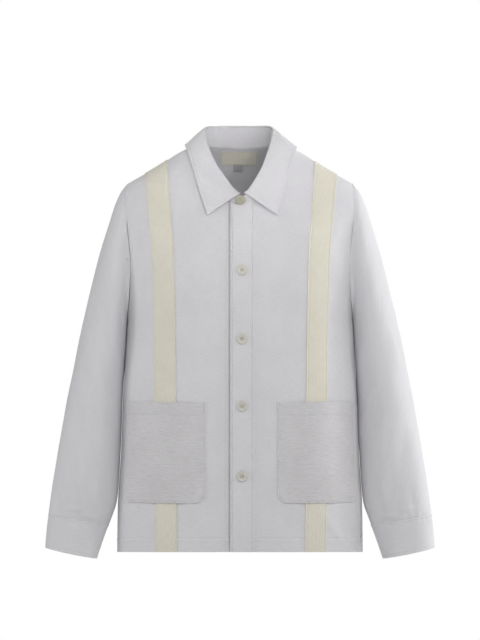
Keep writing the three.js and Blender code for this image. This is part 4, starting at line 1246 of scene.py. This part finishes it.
# Buttons, their thread and buttonholes
button = {
    "face": table(
        "radius height", (0, 2.3), (5.6, 2.3), (6.8, 2.95), (7.6, 3.2), (8.4, 3.2), (9, 2.9), (9.25, 2.2)
    ),
    "under": table("radius height", (9.25, 1.3), (8.6, 0.4), (7.8, 0), (3, 0), (0, 0)),
    "holeRadius": 1.1, "holeSpacing": 3.4, "holeDepth": 1.2, "holeEdge": 0.35,
    "heights": [612, 492, 374, 258, 137], "turned": [12, -8, 5, -14, 9], "topAcross": 0.83, "topThread": 1.5,
}
strand = {"radius": 0.34, "height": 0.75, "apart": 0.45, "sides": 8, "rings": 15}
buttonhole = {"length": 21, "aside": 0.75, "zigzag": 0.45, "turns": 24, "up": 1.2, "proud": 0.15}


# Seats: the top button on the stand's end, the others on the button band
def buttonSeats():
    heights = np.array(button["heights"][1:], float)
    points, normals = bodySurface("front", np.full(4, lap["middle"]), heights)
    points = points + normals * (2 * cloth["seamGap"] + cloth["bandThickness"])
    sections = collarSections(collarRows)
    seam = mix(sections[0, 0:3], sections[1, 0:3], button["topAcross"])
    top = mix(sections[0, 3:6], sections[1, 3:6], button["topAcross"])
    across = sections[1, 3:6] - sections[0, 3:6]
    out = np.cross(top - seam, across)
    out /= np.linalg.norm(out) * (-1 if out[1] > 0 else 1)
    share = (button["heights"][0] - seam[2]) / (top[2] - seam[2])
    first = mix(seam, top, share) + out * (collar["standOuter"] + button["topThread"])
    return [(first, out), *zip(points, normals)]


# Right, up and out at a seat, turned round out: right cos + up sin, up cos - right sin
def seatDirections(normal, turned):
    up = unit(np.array([0, 0, 1.0]) - normal * normal[2])
    right, cos, sin = np.cross(up, normal), math.cos(turned), math.sin(turned)
    return np.stack([right * cos + up * sin, up * cos - right * sin, normal])


# Face of the button: radius against height, dished inside the rim, pressed in at the four holes
def buttonShape():
    face, under = button["face"], button["under"]
    r = np.concatenate([np.linspace(0, 5.4, 30), np.linspace(5.6, 9.25, 14)])
    turn = circle(72)[:, None]
    x, y = r * np.cos(turn), r * np.sin(turn)
    half = button["holeSpacing"] / 2
    toHole = np.hypot(np.abs(x) - half, np.abs(y) - half)
    pressed = np.clip((button["holeRadius"] - toHole) / button["holeEdge"] + 0.5, 0, 1)
    top = stacked(x, y, np.interp(r, face["radius"], face["height"]) - button["holeDepth"] * pressed)
    bottom = stacked(under["radius"] * np.cos(turn), under["radius"] * np.sin(turn), under["height"])
    return np.concatenate([top, bottom], 1)


# A thread strand over the button: a half hoop between two holes
def hoop(start, end):
    share, upward = np.linspace(0, 1, strand["rings"]), np.array([0, 0, 1.0])
    rise = strand["height"] * np.sin(math.pi * share) ** 0.6 - 0.9 * np.abs(2 * share - 1) ** 6
    middle = mix(np.array(start), np.array(end), share[:, None]) + upward * rise[:, None]
    tangent = unit(np.gradient(middle, axis=0))
    side = unit(np.cross(tangent, upward))
    turn = circle(strand["sides"])[:, None, None]
    return middle + (side * np.cos(turn) + np.cross(side, tangent) * np.sin(turn)) * strand["radius"]


shape = buttonShape()
half = button["holeSpacing"] / 2
between = [side * half + k for side in (-1, 1) for k in (-strand["apart"], strand["apart"])]
strands = [hoop((x, -half, 2.2), (x, half, 2.2)) for x in between]
strandQuads = facingOut(strands[0].reshape(-1, 3), gridQuads(strand["sides"], strand["rings"], True))
strandQuads = repeated(strandQuads, len(strands), strand["sides"] * strand["rings"])
for number, (seat, normal) in enumerate(buttonSeats(), 1):
    axes = seatDirections(normal, math.radians(button["turned"][number - 1]))
    points = shape.reshape(-1, 3) @ axes + seat
    quads = facingOut(points, gridQuads(*shape.shape[:2], True))
    # the top button takes the cream resin darkened with painted shade
    piece = meshObject(f"button-{number}", points, quads, shadedTopButtonResin if number == 1 else buttonResin)
    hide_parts(f"button_{number}")
    points = np.concatenate(strands).reshape(-1, 3) @ axes + seat
    piece = meshObject(f"button-{number}-thread", points, strandQuads, buttonThread)

# Upright buttonholes: two close rows of zigzag stitches round a slit, on the band under each button
rows = []
along = np.linspace(-0.5, 0.5, 90)
for height in button["heights"][1:]:
    for side in (-1, 1):
        zigzag = buttonhole["zigzag"] * np.sign(np.sin(along * 2 * math.pi * buttonhole["turns"]))
        x = lap["middle"] + side * buttonhole["aside"] + zigzag
        points, normals = bodySurface("front", x, height + buttonhole["up"] + along * buttonhole["length"])
        proud = cloth["seamGap"] + cloth["bandThickness"] + buttonhole["proud"]
        rows.append((points + normals * proud, normals))
stitching("buttonholes", rows, whiteThread)
print("buttons made")

# Floor, light and background
stage = {"floorDrop": -1.25, "floorRadius": 4.5, "floorSides": 96, "worldLight": 0.35}

turn = circle(stage["floorSides"])
floorPoints = stacked(np.cos(turn), np.sin(turn), 0) * stage["floorRadius"] + [0, 0, stage["floorDrop"]]
floorMesh = bpy.data.meshes.new("floor")
floorMesh.from_pydata(floorPoints.tolist(), [], [tuple(range(stage["floorSides"]))])
floor = bpy.data.objects.new("floor", floorMesh)
bpy.context.scene.collection.objects.link(floor)
material, tree, shader = newMaterial("pale studio floor", Base_Color=srgb("#dedede"), Roughness=0.9)
floorMesh.materials.append(material)

world = bpy.data.worlds.new("white studio")
world.use_nodes = True
bpy.context.scene.world = world
tree = world.node_tree
tree.nodes.clear()
seen = addNode(tree, "ShaderNodeBackground", None, Color=(1, 1, 1, 1), Strength=1.0)
lit = addNode(tree, "ShaderNodeBackground", None, Color=(1, 1, 1, 1), Strength=stage["worldLight"])
isCamera = addNode(tree, "ShaderNodeLightPath").outputs["Is Camera Ray"]
both = addNode(tree, "ShaderNodeMixShader", None, i0=isCamera, i1=lit.outputs[0], i2=seen.outputs[0])
addNode(tree, "ShaderNodeOutputWorld", None, Surface=both.outputs[0])


# A rectangular light that points from its place to a target
def addLight(name, place, target, size, power, spread=180):
    data = bpy.data.lights.new(name, "AREA")
    data.shape = "RECTANGLE"
    data.size, data.size_y = size
    data.energy = power
    data.spread = math.radians(spread)
    light = bpy.data.objects.new(name, data)
    light.location = place
    light.rotation_euler = (Vector(target) - Vector(place)).to_track_quat("-Z", "Y").to_euler()
    bpy.context.scene.collection.objects.link(light)


# the main light stands a little behind on the wearer's left; a small key draws the edges, and a narrow
# light reaches into the neck
addLight("left rear", (2.6, 0.9, 0.3), (0, 0, -0.35), (1.2, 2.0), 34.5)
addLight("left side", (3.0, 0.1, -0.3), (0, 0, -0.35), (1.0, 2.0), 10)
addLight("key", (2.5, -1.4, 0.6), (0, 0, -0.3), (0.35, 0.35), 8.5)
addLight("right side", (-3.0, -0.9, 0.2), (0, 0, -0.35), (1.2, 2.0), 19)
addLight("front", (0.15, -1.5, 0.3), (0, 0, -0.05), (0.9, 0.9), 7.4)
addLight("neck", (1.15, -2.5, 0.3), (-0.02, 0.02, -0.02), (0.3, 0.3), 0.055, 8)
addLight("back", (0.5, 2.8, 1.0), (0, 0.5, -0.7), (1.5, 1.5), 16)

bpy.context.scene.view_settings.view_transform = "Standard"
bpy.context.scene.view_settings.look = "None"

print("scene made")
